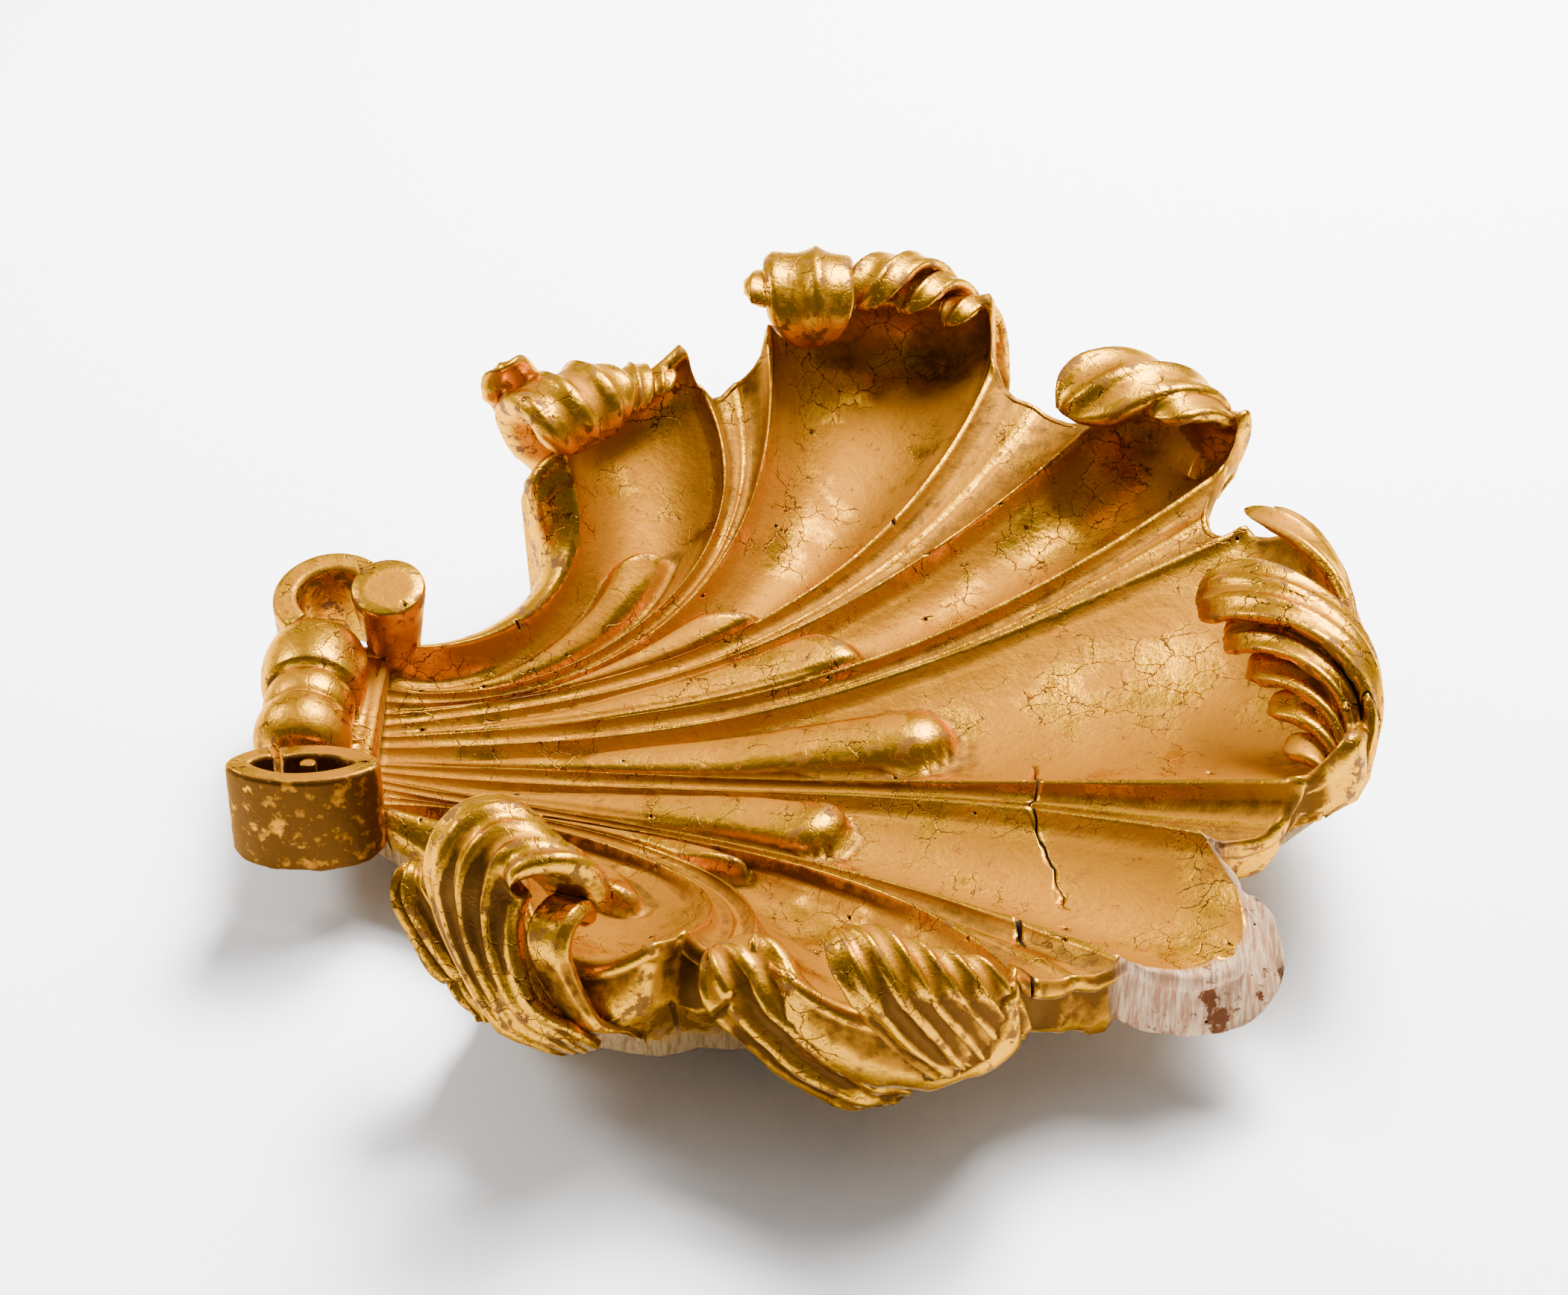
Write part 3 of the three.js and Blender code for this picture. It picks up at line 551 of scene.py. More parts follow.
def leaf_path(lobe, group, share):
    """The middle line of one leaf: functions of the share v of its length that give its points and the
    direction in which its outer face looks."""
    foot, tip, sway, reach, top, stem, crook, rise, turn = (
        leaf_value(group, key, share)
        for key in ("foot", "tip", "sway", "reach", "top", "stem", "crook", "rise", "turn"))
    side = -1.0 if lobe > MIDDLE_LOBE else 1.0
    span = np.linalg.norm(np.subtract(*rim_ends(lobe)))
    turn = math.radians(turn)
    arc = crook * (1 + CROOK_END) * turn / 2

    def path(v):
        held = np.clip(v, 0.0, 1.0)
        along = mix(foot, tip, held) + sway * np.sin(np.pi * held)
        point, out = rim_line(lobe, 0.5 + side * along / span)
        run = v * (stem + arc) - stem
        theta = np.maximum(run / arc, 0.0) * turn
        radius = crook * mix(1.0, CROOK_END, theta / turn)
        sink = LEAF_SINK * (1.0 - smooth(3 * (run + stem) / stem))
        lift = out * np.cos(theta)[:, None] + UP * np.sin(theta)[:, None]
        out_shift = reach - sink + radius * np.cos(theta)
        up_shift = top + np.minimum(run, 0.0) + rise * radius * np.sin(theta)
        return point + out * out_shift[:, None] + UP * up_shift[:, None], lift

    return path


def leaf_rings(lobe, group, share):
    """Rings of one leaf from foot to tip. Its width swells from the foot and closes as an ellipse."""
    path = leaf_path(lobe, group, share)
    v = np.linspace(0.0, 1.0, LEAF_STEPS) ** 0.85
    centre, lift = path(v)
    tangent = unit(path(v + 0.01)[0] - path(v - 0.01)[0])
    across = unit(np.cross(tangent, lift))
    face = unit(np.cross(across, tangent))
    past = np.clip((v - LEAF_TIP_FROM) / (1.0 - LEAF_TIP_FROM), 0.0, 1.0)
    swell = (0.5 + 0.5 * smooth(2 * v)) * np.maximum((1.0 - past**2) ** 0.6, 0.12)
    profile = np.stack([leaf_profile(group["flutes"], FLUTE_TWIST * math.sin(2.2 * s)) for s in v])
    wide = leaf_value(group, "width", share) / 2 * swell[:, None] * profile[..., 0]
    thick = leaf_value(group, "thick", share) / 2 * swell[:, None] * profile[..., 1]
    return centre[:, None] + across[:, None] * wide[..., None] + face[:, None] * thick[..., None]


# %% Leaves of every lobe
def leaf_objects():
    """One closed tube for each leaf."""
    made = []
    for lobe, name in enumerate(LEAVES_OF):
        for group in LEAF_GROUPS.get(name, []):
            for i in range(group["count"]):
                share = i / (group["count"] - 1) if group["count"] > 1 else 0.0
                made.append(make_tube("leaf", leaf_rings(lobe, group, share)))
    return made


leaves = leaf_objects()
print("leaves", len(leaves))

# %% [markdown]
# ## The scrolled root
#
# The root is a horizontal roll with rings between two upright scrolls, which stand on a thick saddle. A
# scroll is a flat band that winds round its eye and leans towards the middle. Its edges are rounded by a
# superellipse, so that they read as carved wood and not as cut sheet.

# %% Root values and parts
KNUCKLE = dict(x=-268, z=76, half=52, swell=5)
KNUCKLE_RINGS = [(0.0, 28), (0.32, 28), (0.55, 26), (1.0, 31)]
SCROLL = dict(bottom=42, top=97, band=14, tilt=math.radians(12.0))
SADDLE = dict(start=-284, end=-232, half=84, bottom=28, top=58)
FAR_SCROLL = dict(side=1, x=-256, y=SADDLE["half"], reach_x=35, reach_y=30, start=225.0, end=60.0,
                  shrink=0.7, point=1.0)
NEAR_SCROLL = dict(side=-1, x=-259, y=SADDLE["half"], reach_x=37, reach_y=18, start=235.0, end=-120.0,
                   shrink=0.8, point=1.3)
EYE = dict(side=1, x=-230, y=SADDLE["half"], top=22.5, bottom=14, rise=4)
POST = dict(side=-1, x=-258, y=SADDLE["half"] - 2, top=5, bottom=5, rise=-2)


def rounded_box(half_width, low, high, corner, count=10):
    """The outline of a box with rounded corners: quarter circles of count points at its corners."""
    quarter = np.linspace(0.0, np.pi / 2, count)
    outline = []
    for place, (sx, sz) in enumerate([(1, 1), (-1, 1), (-1, -1), (1, -1)]):
        turn = quarter + place * np.pi / 2
        outline.append(np.stack([sx * (half_width - corner) + corner * np.cos(turn),
                                 (high if sz > 0 else low) - sz * corner + corner * np.sin(turn)], -1))
    return np.concatenate(outline)


def leaned(points, scroll):
    """Points of a scroll leant towards the middle, and mirrored for the near side."""
    lean = math.tan(SCROLL["tilt"]) * (points[..., 2] - SCROLL["bottom"])
    slope = math.sin(SCROLL["tilt"]) * (points[..., 1] - scroll["y"])
    share = np.clip((points[..., 2] - SCROLL["bottom"]) / (SCROLL["top"] - SCROLL["bottom"]), 0.0, 1.0)
    return np.stack([points[..., 0], scroll["side"] * (points[..., 1] - lean * 0.5),
                     points[..., 2] + slope * share], -1)


def scroll_rings(scroll, steps=72):
    """Rings along a scroll's band. Its middle line is a shrinking ellipse, and a power on the sine draws
    the ends of the near one to points."""
    u = np.linspace(0.0, 1.0, steps)
    alpha = np.radians(mix(scroll["start"], scroll["end"], u))
    shrink = mix(1.0, scroll["shrink"], u**2)
    sine = np.sign(np.sin(alpha)) * np.abs(np.sin(alpha)) ** scroll["point"]
    middle = np.stack([scroll["x"] + scroll["reach_x"] * shrink * np.cos(alpha),
                       scroll["y"] + scroll["reach_y"] * shrink * sine, 0 * u], -1)
    forwards = np.gradient(middle, axis=0)
    out = unit(np.stack([-forwards[:, 1], forwards[:, 0], 0 * u], -1))
    outline = rounded_box(SCROLL["band"] / 2, SCROLL["bottom"], SCROLL["top"], 3.5)
    rings = middle[:, None] + out[:, None] * outline[None, :, :1] + UP * outline[None, :, 1:]
    return leaned(rings, scroll)


def post_rings(post):
    """An upright post with a rounded top edge, in the middle of a scroll."""
    z = np.array([0.0, 0.3, 0.6, 0.9, 0.96, 0.985, 1.0, 1.0, 1.0])
    inset = np.array([0.0, 0.0, 0.0, 0.0, 0.02, 0.05, 0.1, 0.45, 0.8])
    radius = mix(post["bottom"], post["top"], z) * (1.0 - inset)
    turn = np.linspace(0.0, 2 * np.pi, 64, endpoint=False)
    level = mix(SCROLL["bottom"], SCROLL["top"] + post["rise"], z)
    points = heading(turn)[None] * radius[:, None, None] + UP * level[:, None, None]
    return leaned(points + np.array([post["x"], post["y"], 0.0]), post)


def knuckle_rings():
    """The horizontal roll: between two grooves its radius bulges as a root of the sine, and the ends
    round off."""
    u = np.linspace(0.0, 1.0, 96)
    swell = np.zeros_like(u)
    full = np.zeros_like(u)
    for (start, _), (end, radius) in zip(KNUCKLE_RINGS, KNUCKLE_RINGS[1:]):
        inside = (u >= start) & (u <= end)
        swell[inside] = np.sin(np.pi * (u[inside] - start) / (end - start)) ** 0.4
        full[inside] = radius
    end = np.sqrt(1.0 - (2 * u - 1) ** 6 * 0.5)
    radius = (full - KNUCKLE["swell"] * (1 - swell)) * end
    turn = np.linspace(0.0, 2 * np.pi, 56, endpoint=False)
    circle = np.stack([np.cos(turn), 0 * turn, np.sin(turn)], -1)
    y = mix(-KNUCKLE["half"], KNUCKLE["half"], u)
    axis = np.stack([np.full_like(y, KNUCKLE["x"]), y, np.full_like(y, KNUCKLE["z"])], -1)
    return axis[:, None] + circle[None] * radius[:, None, None]


def saddle_rings():
    """The thick block under the roll, rounded at both sides and along its edges."""
    u = np.linspace(-1.0, 1.0, 40)
    end = np.sqrt(1.0 - np.abs(u) ** 6 * 0.6)
    start = mix(SADDLE["end"], SADDLE["start"], end)
    outline = rounded_box(0.5, -0.5, 0.5, 0.12)
    middle, half = (start + SADDLE["end"]) / 2, (SADDLE["end"] - start)
    height = (SADDLE["top"] - SADDLE["bottom"]) * end
    level = (SADDLE["top"] + SADDLE["bottom"]) / 2
    x = middle[:, None] + half[:, None] * outline[None, :, 0]
    z = level + height[:, None] * outline[None, :, 1]
    y = np.broadcast_to((u * SADDLE["half"])[:, None], x.shape)
    return np.stack([x, y, z], -1)


root_parts = [
    make_tube("knuckle", knuckle_rings()),
    make_tube("saddle", saddle_rings()),
    make_tube("scroll far", scroll_rings(FAR_SCROLL)),
    make_tube("scroll near", scroll_rings(NEAR_SCROLL)),
    make_tube("eye", post_rings(EYE)),
    make_tube("post", post_rings(POST)),
]
print("root parts", len(root_parts))

# %% [markdown]
# ## One block of wood
#
# The leaves and the root are joined to the shell with Boolean modifiers, so that the piece is one skin
# as the carving is. The modifiers are applied through the evaluated mesh, and the helpers are removed.

# %% Join everything
def join_parts(target, parts, operation="UNION"):
    """Joins parts to the target, or cuts them from it, by exact mesh booleans."""
    for part in parts:
        modifier = target.modifiers.new("join", "BOOLEAN")
        modifier.operation = operation
        modifier.solver = "MANIFOLD"
        modifier.object = part
    bpy.context.view_layer.update()
    graph = bpy.context.evaluated_depsgraph_get()
    mesh = bpy.data.meshes.new_from_object(target.evaluated_get(graph))
    target.modifiers.clear()
    old = target.data
    target.data = mesh
    bpy.data.meshes.remove(old)
    for part in parts:
        data = part.data
        bpy.data.objects.remove(part)
        bpy.data.meshes.remove(data)


join_parts(shell, leaves + root_parts)
print("joined", len(shell.data.polygons), "faces")

# %% [markdown]
# ## The carver's hand, and the break
#
# A carved surface is never quite even, so the skin gets a slight unevenness, coarser on the underside
# that was left rough. Where the rim of one lobe has broken off, the bare wood is torn along its grain.
# The heights come from value noise: random numbers at the corners of a lattice, blended smoothly.

# %% Unevenness and torn wood
HAND_MM, HAND_SIZE = 0.7, 30.0
ROUGH_MM, ROUGH_SIZE = 1.3, 9.0
TORN_MM, TORN_SIZE = 1.8, np.array([5.0, 24.0, 24.0])
GOUGE_MM, GOUGE_SIZE = 2.5, 16.0
BREAK_START = 1.0


def value_noise(points, size):
    """Smooth values from -1 to 1 at points in mm, on a lattice with cells of the given size."""
    scaled = points / size
    cell = np.floor(scaled)
    share = smooth(scaled - cell)
    total = np.zeros(len(points))
    for corner in ((x, y, z) for x in (0, 1) for y in (0, 1) for z in (0, 1)):
        wave = np.sin((cell + corner) @ np.array([127.1, 311.7, 74.7])) * 43758.5453
        weight = np.prod(np.where(np.array(corner) == 1, share, 1.0 - share), axis=1)
        total += weight * (2.0 * (wave - np.floor(wave)) - 1.0)
    return total


def mesh_arrays(mesh):
    """Vertex positions in mm, vertex normals and edges as arrays."""
    count = len(mesh.vertices)
    points = np.empty(count * 3)
    mesh.vertices.foreach_get("co", points)
    normals = np.empty(count * 3)
    mesh.vertex_normals.foreach_get("vector", normals)
    edges = np.empty(len(mesh.edges) * 2, int)
    mesh.edges.foreach_get("vertices", edges)
    return points.reshape(-1, 3) / MM, normals.reshape(-1, 3), edges.reshape(-1, 2)


def break_share(points):
    """Share from 0 to 1 of being past the rim line of the broken lobe, between its two ridges."""
    start, end = rim_ends(BROKEN_LOBE)
    chord = (end - start)[:2]
    along = ((points[:, :2] - start[:2]) @ chord) / (chord @ chord)
    line, out = rim_line(BROKEN_LOBE, along)
    reach = np.einsum("ij,ij->i", points - line, out)
    ragged = 2.0 * value_noise(points, 7.0)
    inside = smooth((along + 0.06) / 0.05) * smooth((1.06 - along) / 0.05)
    return inside * smooth((reach + ragged - BREAK_START) / 1.5)


def roughen(piece):
    """Moves each vertex along its normal by the unevenness that belongs there."""
    points, normals, _ = mesh_arrays(piece.data)
    height = HAND_MM * value_noise(points, HAND_SIZE)
    below = smooth((-normals[:, 2] - 0.1) / 0.3)
    height += below * ROUGH_MM * value_noise(points, ROUGH_SIZE)
    torn = break_share(points)
    height += torn * (TORN_MM * value_noise(points, TORN_SIZE) + GOUGE_MM * np.minimum(
        value_noise(points, GOUGE_SIZE), 0.0))
    resting = smooth((points[:, 2] - 1.0) / 3.0)
    moved = points + normals * (height * resting)[:, None]
    piece.data.vertices.foreach_set("co", (moved * MM).ravel())
    piece.data.update()


roughen(shell)

# %% [markdown]
# ## Cracks and worm holes
#
# The wood has split in a few places along the flutes, and worms have left small round holes. Both are
# real cuts: jagged blades and small cylinders, placed on the surface below by a ray from above, and all
# taken from the skin in one Boolean step. Faces made by the cutters are marked for the material.

# %% Cracks and holes
HOLE_SPOTS = 70
HOLE_RADIUS = (0.7, 1.25)
HOLE_DEPTH = 6.0
HOLE_SIDES = 10
CRACK_STEP = 3.0
CRACK_JAG = 1.6
CRACKS = [
    dict(path=[(140, -30), (140, -69), (132, -84), (143, -117), (149, -154)], width=1.5, depth=9.0),
    dict(path=[(117, -162), (121, -180), (124, -203)], width=3.2, depth=5.0),
    dict(path=[(116, -228), (125, -250), (122, -272)], width=2.2, depth=9.0),
    dict(path=[(105, 101), (123, 108), (133, 118)], width=1.3, depth=5.0),
    dict(path=[(68, 184), (83, 198)], width=1.2, depth=4.0),
    dict(path=[(296, -84), (310, -80), (322, -88)], width=1.4, depth=6.0),
]


def surface_below(x, y):
    """Height and normal of the highest surface at a place in mm, or nothing beside the piece."""
    hit, place, normal, _ = shell.ray_cast((x * MM, y * MM, 0.5), (0.0, 0.0, -1.0))
    return (place[2] / MM, np.array(normal)) if hit else None


def crack_rings(crack):
    """Rings of a thin jagged blade that follows the surface and thins out at both ends."""
    corners = np.array(crack["path"], float)
    lengths = np.concatenate([[0.0], np.cumsum(np.linalg.norm(np.diff(corners, axis=0), axis=1))])
    s = np.linspace(0.0, lengths[-1], int(lengths[-1] / CRACK_STEP) + 2)
    path = np.stack([np.interp(s, lengths, corners[:, axis]) for axis in (0, 1)], -1)
    flat = np.concatenate([path, np.zeros((len(path), 1))], -1)
    along = np.gradient(path, axis=0)
    along /= np.linalg.norm(along, axis=1)[:, None]
    aside = np.stack([-along[:, 1], along[:, 0]], -1)
    path = path + aside * (CRACK_JAG * value_noise(flat, 5.0))[:, None]
    share = np.sin(np.pi * np.linspace(0.02, 0.98, len(path))) ** 0.5
    half = 0.5 * crack["width"] * share * (1.0 + 0.4 * value_noise(flat, 4.0))
    rings = []
    for place, side, width, deep in zip(path, aside, half, share * crack["depth"]):
        found = surface_below(*place)
        if found is None:
            continue
        level = found[0]
        left, right = place - side * width, place + side * width
        rings.append([(*left, level + 2.0), (*right, level + 2.0),
                      (*(place + 0.2 * side * width), level - deep),
                      (*(place - 0.2 * side * width), level - deep)])
    return np.array(rings)


def hole_rings(place, normal, radius):
    """Rings of a small cylinder across the surface."""
    first = np.cross(normal, [0.3, 0.9, 0.1])
    first /= np.linalg.norm(first)
    second = np.cross(normal, first)
    angle = np.linspace(0.0, 2.0 * np.pi, HOLE_SIDES, endpoint=False)[:, None]
    circle = radius * (np.cos(angle) * first + np.sin(angle) * second)
    return np.stack([place + normal * level + circle for level in (1.5, -HOLE_DEPTH)])


def use_slot(mesh, slot):
    """Gives a mesh two empty material slots and puts all its faces in one of them."""
    for _ in range(2):
        mesh.materials.append(None)
    mesh.polygons.foreach_set("material_index", np.full(len(mesh.polygons), slot))


def make_cutters():
    """All blades and hole cylinders, each a closed tube whose faces carry the second material."""
    rng = np.random.default_rng(11)
    rings = [crack_rings(crack) for crack in CRACKS]
    for x, y, radius in zip(rng.uniform(-250, 320, HOLE_SPOTS), rng.uniform(-270, 330, HOLE_SPOTS),
                            rng.uniform(*HOLE_RADIUS, HOLE_SPOTS)):
        found = surface_below(x, y)
        if found is not None:
            level, normal = found
            rings.append(hole_rings(np.array([x, y, level]), normal, radius))
    cutters = [make_tube("cutter", ring) for ring in rings if len(ring) > 1]
    for cutter in cutters:
        use_slot(cutter.data, 1)
    return cutters


def cut_and_mark(piece):
    """Cuts the cracks and holes, and stores 1 on the faces inside them."""
    use_slot(piece.data, 0)
    join_parts(piece, make_cutters(), "DIFFERENCE")
    mesh = piece.data
    inside = np.empty(len(mesh.polygons), int)
    mesh.polygons.foreach_get("material_index", inside)
    mesh.attributes.new("cut", "FLOAT", "FACE").data.foreach_set("value", inside.astype(np.float32))
    mesh.polygons.foreach_set("material_index", np.zeros(len(mesh.polygons), int))
    print("cut", int(inside.sum()), "faces inside cracks and holes")


cut_and_mark(shell)

# %% [markdown]
# ## Where dirt, wear, painted shade and bare wood belong
#
# Dirt settles in hollows and gold rubs off edges, so both follow the form, and the hollows also get
# painted shade. The mesh is relaxed a few times by averaging each vertex with its neighbours. A vertex
# that moves outwards sits in a hollow, and one that moves inwards sits on an edge. The outer faces of the
# near side and the tips get painted shade, the near side because it faces away from the light, most of
# all near the root and on the near scroll's front wall. These shares are stored on the vertices for the
# material.

# %% Vertex attributes
FINE_ROUNDS = 6
BROAD_ROUNDS = 50
FAN_MIDDLE = (20.0, 0.0)
UNSHADED_FROM_Y = 70.0
TIPS_FROM_X = 235.0
SCROLL_TO = (-212.0, -52.0)
ROOT_SHADE_FROM_X = -70.0
ROOT_SHADE_EXTRA = 0.4
FINE_HOLLOW_MM = 0.8
FINE_EDGE_MM = 0.9
BROAD_HOLLOW_MM = 6.0


def relaxed(values, edges, rounds):
    """Values after rounds of averaging each vertex with the mean of its neighbours."""
    count = len(values)
    both = np.concatenate([edges, edges[:, ::-1]])
    degree = np.maximum(np.bincount(both[:, 0], minlength=count), 1)
    for _ in range(rounds):
        mean = np.stack([np.bincount(both[:, 0], values[both[:, 1], axis], count)
                         for axis in range(values.shape[1])], -1) / degree[:, None]
        values = 0.5 * values + 0.5 * mean
    return values


def store(mesh, name, values):
    """Writes one float for each vertex as a named attribute."""
    attribute = mesh.attributes.new(name, "FLOAT", "POINT")
    attribute.data.foreach_set("value", np.asarray(values, np.float32))


def mark_surface(piece):
    """Stores hollow, edge, under, broken and outside shares on the vertices, mostly from 0 to 1."""
    mesh = piece.data
    points, normals, edges = mesh_arrays(mesh)
    fine = np.einsum("ij,ij->i", relaxed(points, edges, FINE_ROUNDS) - points, normals)
    broad = np.einsum("ij,ij->i", relaxed(points, edges, BROAD_ROUNDS) - points, normals)
    # Hollows get dirt and painted shade in the material
    store(mesh, "hollow", smooth(fine / FINE_HOLLOW_MM) * 0.9 + smooth(broad / BROAD_HOLLOW_MM) * 0.12)
    height = points[:, 2] - back_height(points[:, 0], points[:, 1])
    store(mesh, "under", smooth((-normals[:, 2] - 0.3) / 0.3) * smooth((45.0 - height) / 20.0))
    store(mesh, "broken", break_share(points))
    radial = points[:, :2] - np.array(FAN_MIDDLE)
    radial /= np.linalg.norm(radial, axis=1)[:, None]
    outwards = smooth(np.einsum("ij,ij->i", radial, normals[:, :2]) / 0.5)
    x, y = points[:, 0], points[:, 1]
    # Painted shade: the outer faces of the near side, which face away from the light, and those of the
    # tips
    shaded_parts = np.maximum(smooth((UNSHADED_FROM_Y - y) / 50.0), smooth((x - TIPS_FROM_X) / 40.0))
    outwards *= smooth((0.8 - normals[:, 2]) / 0.4) * shaded_parts
    # More painted shade towards the root, and three times as much on the near scroll's front wall
    scroll = smooth((SCROLL_TO[0] - x) / 10.0) * smooth((SCROLL_TO[1] - y) / 10.0)
    root_shade = 1.0 + ROOT_SHADE_EXTRA * smooth((ROOT_SHADE_FROM_X - x) / 80.0)
    scroll_wall = scroll * smooth(-normals[:, 1] / 0.5)
    store(mesh, "outside", np.maximum(outwards * root_shade, 3.0 * scroll_wall))
    # Edges count for less on that wall, so that burnish and rubbed edges do not break its painted shade
    store(mesh, "edge", smooth(-fine / FINE_EDGE_MM) * (1.0 - 0.9 * scroll_wall))


mark_surface(shell)

# %% [markdown]
# ## Materials
#
# The gilding is built up as it is on the real carving, though without its gesso. Bare wood lies at the
# bottom, then red-brown bole, then gold leaf. Noise patterns in object coordinates decide where the leaf
# is burnished, matt, rubbed, chipped or crackled, and the stored shares push each pattern to the places
# where it belongs. Every colour is written as the hex value read off.

# %% Material helpers
def colour(text):
    """Linear RGBA from an sRGB hex value."""
    channels = np.array([int(text[i:i + 2], 16) for i in (1, 3, 5)]) / 255.0
    linear = np.where(channels <= 0.04045, channels / 12.92, ((channels + 0.055) / 1.055) ** 2.4)
    return (*map(float, linear), 1.0)


def add_node(tree, kind, output=None, links=None, **settings):
    """Adds one node and gives one of its outputs. settings go on the node and links on its inputs: a
    socket is linked, a hex value is made a linear colour, and any other value is set as it is."""
    node = tree.nodes.new("ShaderNode" + kind)
    for name, value in settings.items():
        setattr(node, name, value)
    for name, source in (links or {}).items():
        if isinstance(source, bpy.types.NodeSocket):
            tree.links.new(source, node.inputs[name])
        else:
            node.inputs[name].default_value = colour(source) if isinstance(source, str) else source
    return None if output is None else node.outputs[output]


def mask(tree, low, high, *parts, most=1.0):
    """A share that goes smoothly from 0 to most while a sum of parts goes from low to high. A part is a
    pattern and its weight, and most is a number or another share that holds this one down."""
    total = 0.0
    for pattern, weight in parts:
        total = add_node(tree, "Math", "Value", {0: pattern, 1: weight, 2: total},
                         operation="MULTIPLY_ADD")
    return add_node(tree, "MapRange", "Result", {"Value": total, "From Min": low, "From Max": high,
                                                 "To Max": most}, interpolation_type="SMOOTHSTEP")


def crackle_cells(tree, place):
    """The distance to the borders of the crackle's cells, which are wavy because a noise shifts the
    place first."""
    shift = add_node(tree, "TexNoise", "Color", {"Vector": place, "Scale": 1.0 / (CRACKLE_WAVE_MM * MM),
                                                 "Detail": 3.0})
    moved = add_node(tree, "VectorMath", "Vector", {0: shift, 1: (CRACKLE_WAVE_MM * MM,) * 3, 2: place},
                     operation="MULTIPLY_ADD")
    return add_node(tree, "TexVoronoi", "Distance", {"Vector": moved, "Scale": 1.0 / (CRACKLE_MM * MM)},
                    feature="DISTANCE_TO_EDGE")


# %% The gilded wood
# One row a noise: the size of its features in mm, its detail and its roughness. They are the large
# patches, the streaks, the grains, the specks and the spots of eaten wood.
PATTERNS = [(46.0, 5.0, 0.6), (9.0, 4.0, 0.6), (2.6, 3.0, 0.6), (1.1, 2.0, 0.5), (26.0, 6.0, 0.7)]
CRACKLE_MM, CRACKLE_WAVE_MM, FIBRE_MM = 17.0, 8.0, 2.2
WOOD_STRETCH = (1.0, 0.12, 0.12)
MATT_GOLD, BURNISHED_GOLD, STREAK_GOLD = "#A66C0C", "#C0860E", "#9E600A"
# The first colour in the next row is painted shade on the outer faces of the near side and the tips
SHADE_BROWN, RUBBED_BOLE, CHIPPED_BOLE = "#4E2E0A", "#7A4C12", "#6E3814"
# The first colour in the next row is dirt with painted shade in the hollows
HOLLOW_DIRT_AND_SHADE, SPECK, CRACKLE = "#5A3C14", "#3A200C", "#5A3410"
BARE_WOOD, FRESH_WOOD = ("#6A4E2C", "#9A7C54"), ("#A87454", "#E8C49C")
EATEN_WOOD, CUT_WOOD = "#5E2E18", "#1E120A"
# Metallic and roughness of matt and burnished gold, of gold under dirt and painted shade, of worn gold,
# and of bare wood
MATT_SHINE, BURNISHED_SHINE, DIRT_AND_SHADE_SHINE = (0.76, 0.60), (1.0, 0.30), (0.85, 0.55)
WORN_SHINE, WOOD_SHINE = (0.35, 0.6), (0.0, 0.9)
SPECULAR_TINT = (1.0, 0.72, 0.3, 1.0)
BUMP_STRENGTH, BUMP_DEPTH = 0.5, 0.0012


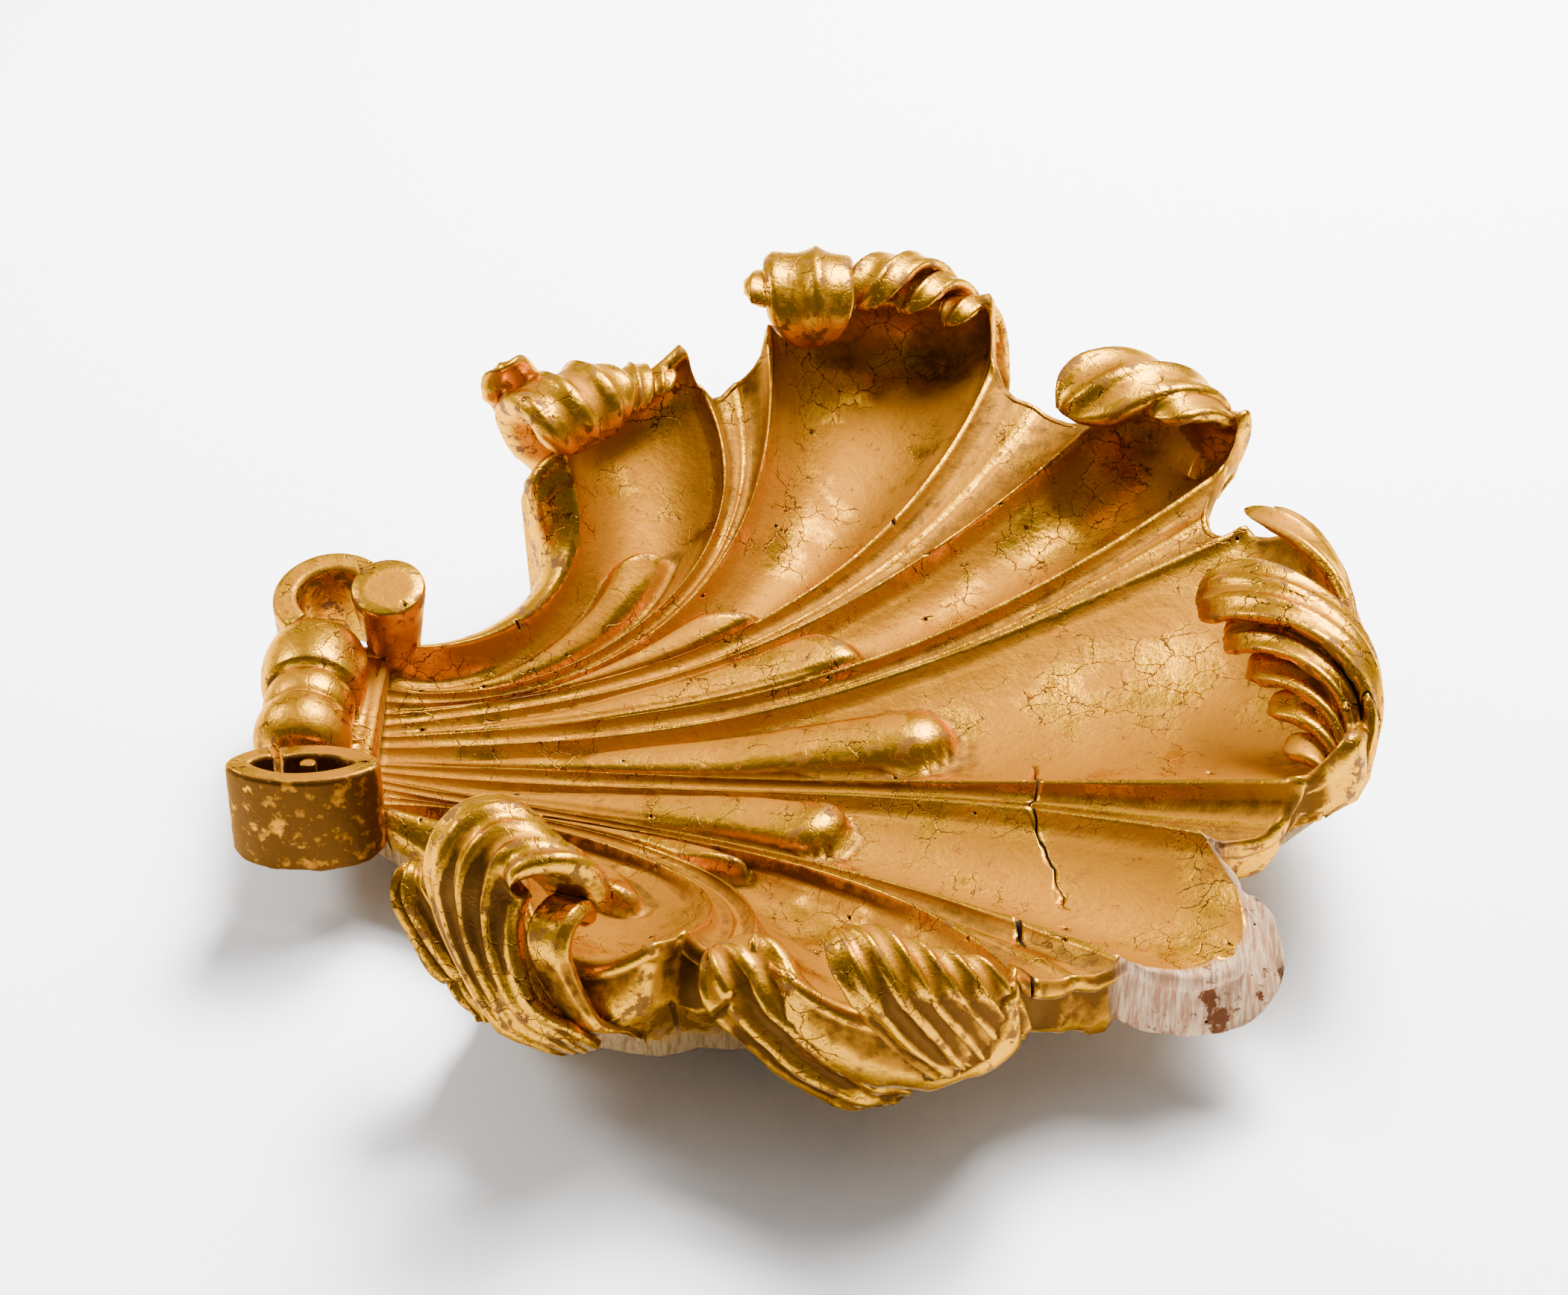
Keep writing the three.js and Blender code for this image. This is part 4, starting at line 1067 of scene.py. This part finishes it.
def gilded_wood():
    """Gold leaf over bole, gesso and wood, worn and soiled by the form."""
    material = bpy.data.materials.new("gilded_wood")
    material.use_nodes = True
    tree = material.node_tree
    tree.nodes.clear()

    place = add_node(tree, "TexCoord", "Object")
    hollow, edge, under, broken, outside, cut = (
        add_node(tree, "Attribute", "Fac", attribute_name=name)
        for name in ("hollow", "edge", "under", "broken", "outside", "cut"))
    patches, streaks, grains, specks, spots = (
        add_node(tree, "TexNoise", "Fac", {"Vector": place, "Scale": 1.0 / (size * MM),
                                           "Detail": detail, "Roughness": roughness})
        for size, detail, roughness in PATTERNS)

    # The gold: where it is burnished, rubbed through, chipped, speckled or crackled, where dirt and
    # painted shade lie in its hollows, and where painted shade darkens the outer faces of the near side
    # and the tips
    burnish = mask(tree, 0.47, 0.66, (patches, 1.0), (edge, 0.35))
    dull = mask(tree, 0.54, 0.74, (streaks, 1.0))
    rubbed = mask(tree, 0.5, 1.0, (edge, 1.0), most=mask(tree, 0.53, 0.60, (streaks, 1.0)))
    chips = mask(tree, 0.94, 0.98, (grains, 1.0), (streaks, 0.5))
    # Dirt and painted shade in the hollows, most of all along the streaks
    hollow_dirt_and_shade = mask(tree, 1.05, 1.6, (hollow, 1.0), (streaks, 0.7))
    dots = mask(tree, 0.62, 0.67, (specks, 1.0), most=mask(tree, 0.42, 0.56, (patches, 1.0)))
    crackle = mask(tree, 0.022, 0.006, (crackle_cells(tree, place), 1.0),
                   most=mask(tree, 0.47, 0.55, (patches, 1.0)))
    # Painted shade on the outer faces of the near side and the tips, mottled by streaks and hollows
    outer_face_shade = mask(tree, 0.12, 0.42, (streaks, 0.6), (hollow, 0.6), (edge, -0.35), most=outside)

    # The wood: bare on the back, and torn or eaten where the rim has broken off
    bare_back = mask(tree, 0.6, 0.9, (under, 1.0), (streaks, 0.4))
    eaten = mask(tree, 0.57, 0.63, (spots, 1.0))
    stretched = add_node(tree, "Mapping", "Vector", {"Vector": place, "Scale": WOOD_STRETCH})
    fibres = add_node(tree, "TexNoise", "Fac", {"Vector": stretched, "Scale": 1.0 / (FIBRE_MM * MM),
                                                "Detail": 5.0, "Roughness": 0.65})
    grain = mask(tree, 0.34, 0.66, (fibres, 1.0))
    torn_grain = mask(tree, 0.34, 0.66, (fibres, 1.0), most=broken)
    bare_wood, fresh_wood = (
        add_node(tree, "Mix", 2, {"Factor": grain, 6: dark, 7: light}, data_type="RGBA")
        for dark, light in (BARE_WOOD, FRESH_WOOD))
    fresh_wood = add_node(tree, "Mix", 2, {"Factor": eaten, 6: fresh_wood, 7: EATEN_WOOD},
                          data_type="RGBA")

    # The colour: each layer covers the ones before it by its share
    skin = MATT_GOLD
    for share, layer in (
            (burnish, BURNISHED_GOLD), (dull, STREAK_GOLD), (outer_face_shade, SHADE_BROWN), (rubbed, RUBBED_BOLE),
            (chips, CHIPPED_BOLE), (hollow_dirt_and_shade, HOLLOW_DIRT_AND_SHADE), (dots, SPECK), (crackle, CRACKLE),
            (bare_back, bare_wood), (broken, fresh_wood), (cut, CUT_WOOD)):
        skin = add_node(tree, "Mix", 2, {"Factor": share, 6: skin, 7: layer}, data_type="RGBA")

    # The shine: how metallic and how rough each state of the surface is
    largest = []
    for most, *others in ((hollow_dirt_and_shade, outer_face_shade), (rubbed, chips, dots), (bare_back, broken, cut)):
        for other in others:
            most = add_node(tree, "Math", "Value", {0: most, 1: other}, operation="MAXIMUM")
        largest.append(most)
    metal, rough = MATT_SHINE
    for share, shine in zip((burnish, *largest), (BURNISHED_SHINE, DIRT_AND_SHADE_SHINE, WORN_SHINE, WOOD_SHINE)):
        metal, rough = (add_node(tree, "Mix", "Result", {"Factor": share, "A": old, "B": new})
                        for old, new in zip((metal, rough), shine))

    # The relief too fine for the mesh
    dents = 0.0
    for pattern, weight in (
            (streaks, 1.0), (grains, 0.35), (chips, -0.3), (crackle, -0.3), (torn_grain, 2.5)):
        dents = add_node(tree, "Math", "Value", {0: pattern, 1: weight, 2: dents},
                         operation="MULTIPLY_ADD")
    bump = add_node(tree, "Bump", "Normal", {"Height": dents, "Strength": BUMP_STRENGTH,
                                             "Distance": BUMP_DEPTH})
    shader = add_node(tree, "BsdfPrincipled", "BSDF", {
        "Base Color": skin, "Metallic": metal, "Roughness": rough, "Normal": bump,
        "Specular Tint": SPECULAR_TINT})
    add_node(tree, "OutputMaterial", links={"Surface": shader})
    return material


shell.data.materials.clear()
shell.data.materials.append(gilded_wood())
shell.data.shade_smooth()
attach(shell, "root")
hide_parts(NODE)

# %% [markdown]
# ## Floor and light
#
# The photo shows a bright white sweep with one soft shadow in front. The floor is a plain pale plane. A
# soft key light stands behind on the right, and a small one on the left draws glints. A third light,
# linked to the floor alone, keeps the paper white without bleaching the gold. The sky is bright behind
# and dim in front, so that the gold has both bright and dark things to mirror.

# %% Floor, lights and world
FLOOR_HALF = 12.0
SKY_FRONT = 0.2
SKY_BACK = 1.0
SKY_FRONT_TO = -0.5
SKY_BACK_FROM = 0.5
# Place and target in metres, side in metres and power in watts
LAMPS = {
    "key": ((0.8, 1.05, 2.15), (0.0, 0.0, 0.1), 1.3, 215.0),
    "glint": ((-1.5, 0.5, 1.2), (0.0, 0.0, 0.1), 0.6, 26.0),
    "paper": ((0.5, 1.7, 2.3), (0.0, 0.1, 0.0), 1.0, 400.0),
}
ring = np.array([[-1, -1], [1, -1], [1, 1], [-1, 1]]) * FLOOR_HALF
floor_mesh = bpy.data.meshes.new("floor")
floor_mesh.from_pydata([(float(x), float(y), 0.0) for x, y in ring], [], [(0, 1, 2, 3)])
floor = bpy.data.objects.new("floor", floor_mesh)
bpy.context.scene.collection.objects.link(floor)
paper = bpy.data.materials.new("white_paper")
paper.use_nodes = True
sheet = paper.node_tree.nodes["Principled BSDF"].inputs
sheet["Base Color"].default_value = colour("#F4F4F4")
sheet["Roughness"].default_value = 0.9
floor.data.materials.append(paper)


def area_light(name, place, target, size, power):
    """A square soft light at a place in metres, aimed at a target."""
    data = bpy.data.lights.new(name, "AREA")
    data.energy = power
    data.size = size
    lamp = bpy.data.objects.new(name, data)
    lamp.location = place
    from_to = np.array(target) - np.array(place)
    lamp.rotation_euler = (math.atan2(math.hypot(*from_to[:2]), -from_to[2]), 0.0,
                           math.atan2(from_to[1], from_to[0]) - math.pi / 2)
    bpy.context.scene.collection.objects.link(lamp)
    return lamp


lamps = {name: area_light(name, *values) for name, values in LAMPS.items()}
paper_only = bpy.data.collections.new("paper_only")
paper_only.objects.link(floor)
lamps["paper"].light_linking.receiver_collection = paper_only

world = bpy.data.worlds.new("studio")
world.use_nodes = True
sky = world.node_tree
direction = add_node(sky, "SeparateXYZ", "Y", {"Vector": add_node(sky, "TexCoord", "Generated")})
strength = add_node(sky, "MapRange", "Result", {
    "Value": direction, "From Min": SKY_FRONT_TO, "From Max": SKY_BACK_FROM, "To Min": SKY_FRONT,
    "To Max": SKY_BACK}, interpolation_type="SMOOTHSTEP")
sky.links.new(strength, sky.nodes["Background"].inputs["Strength"])
sky.nodes["Background"].inputs["Color"].default_value = (1.0, 1.0, 1.0, 1.0)
bpy.context.scene.world = world
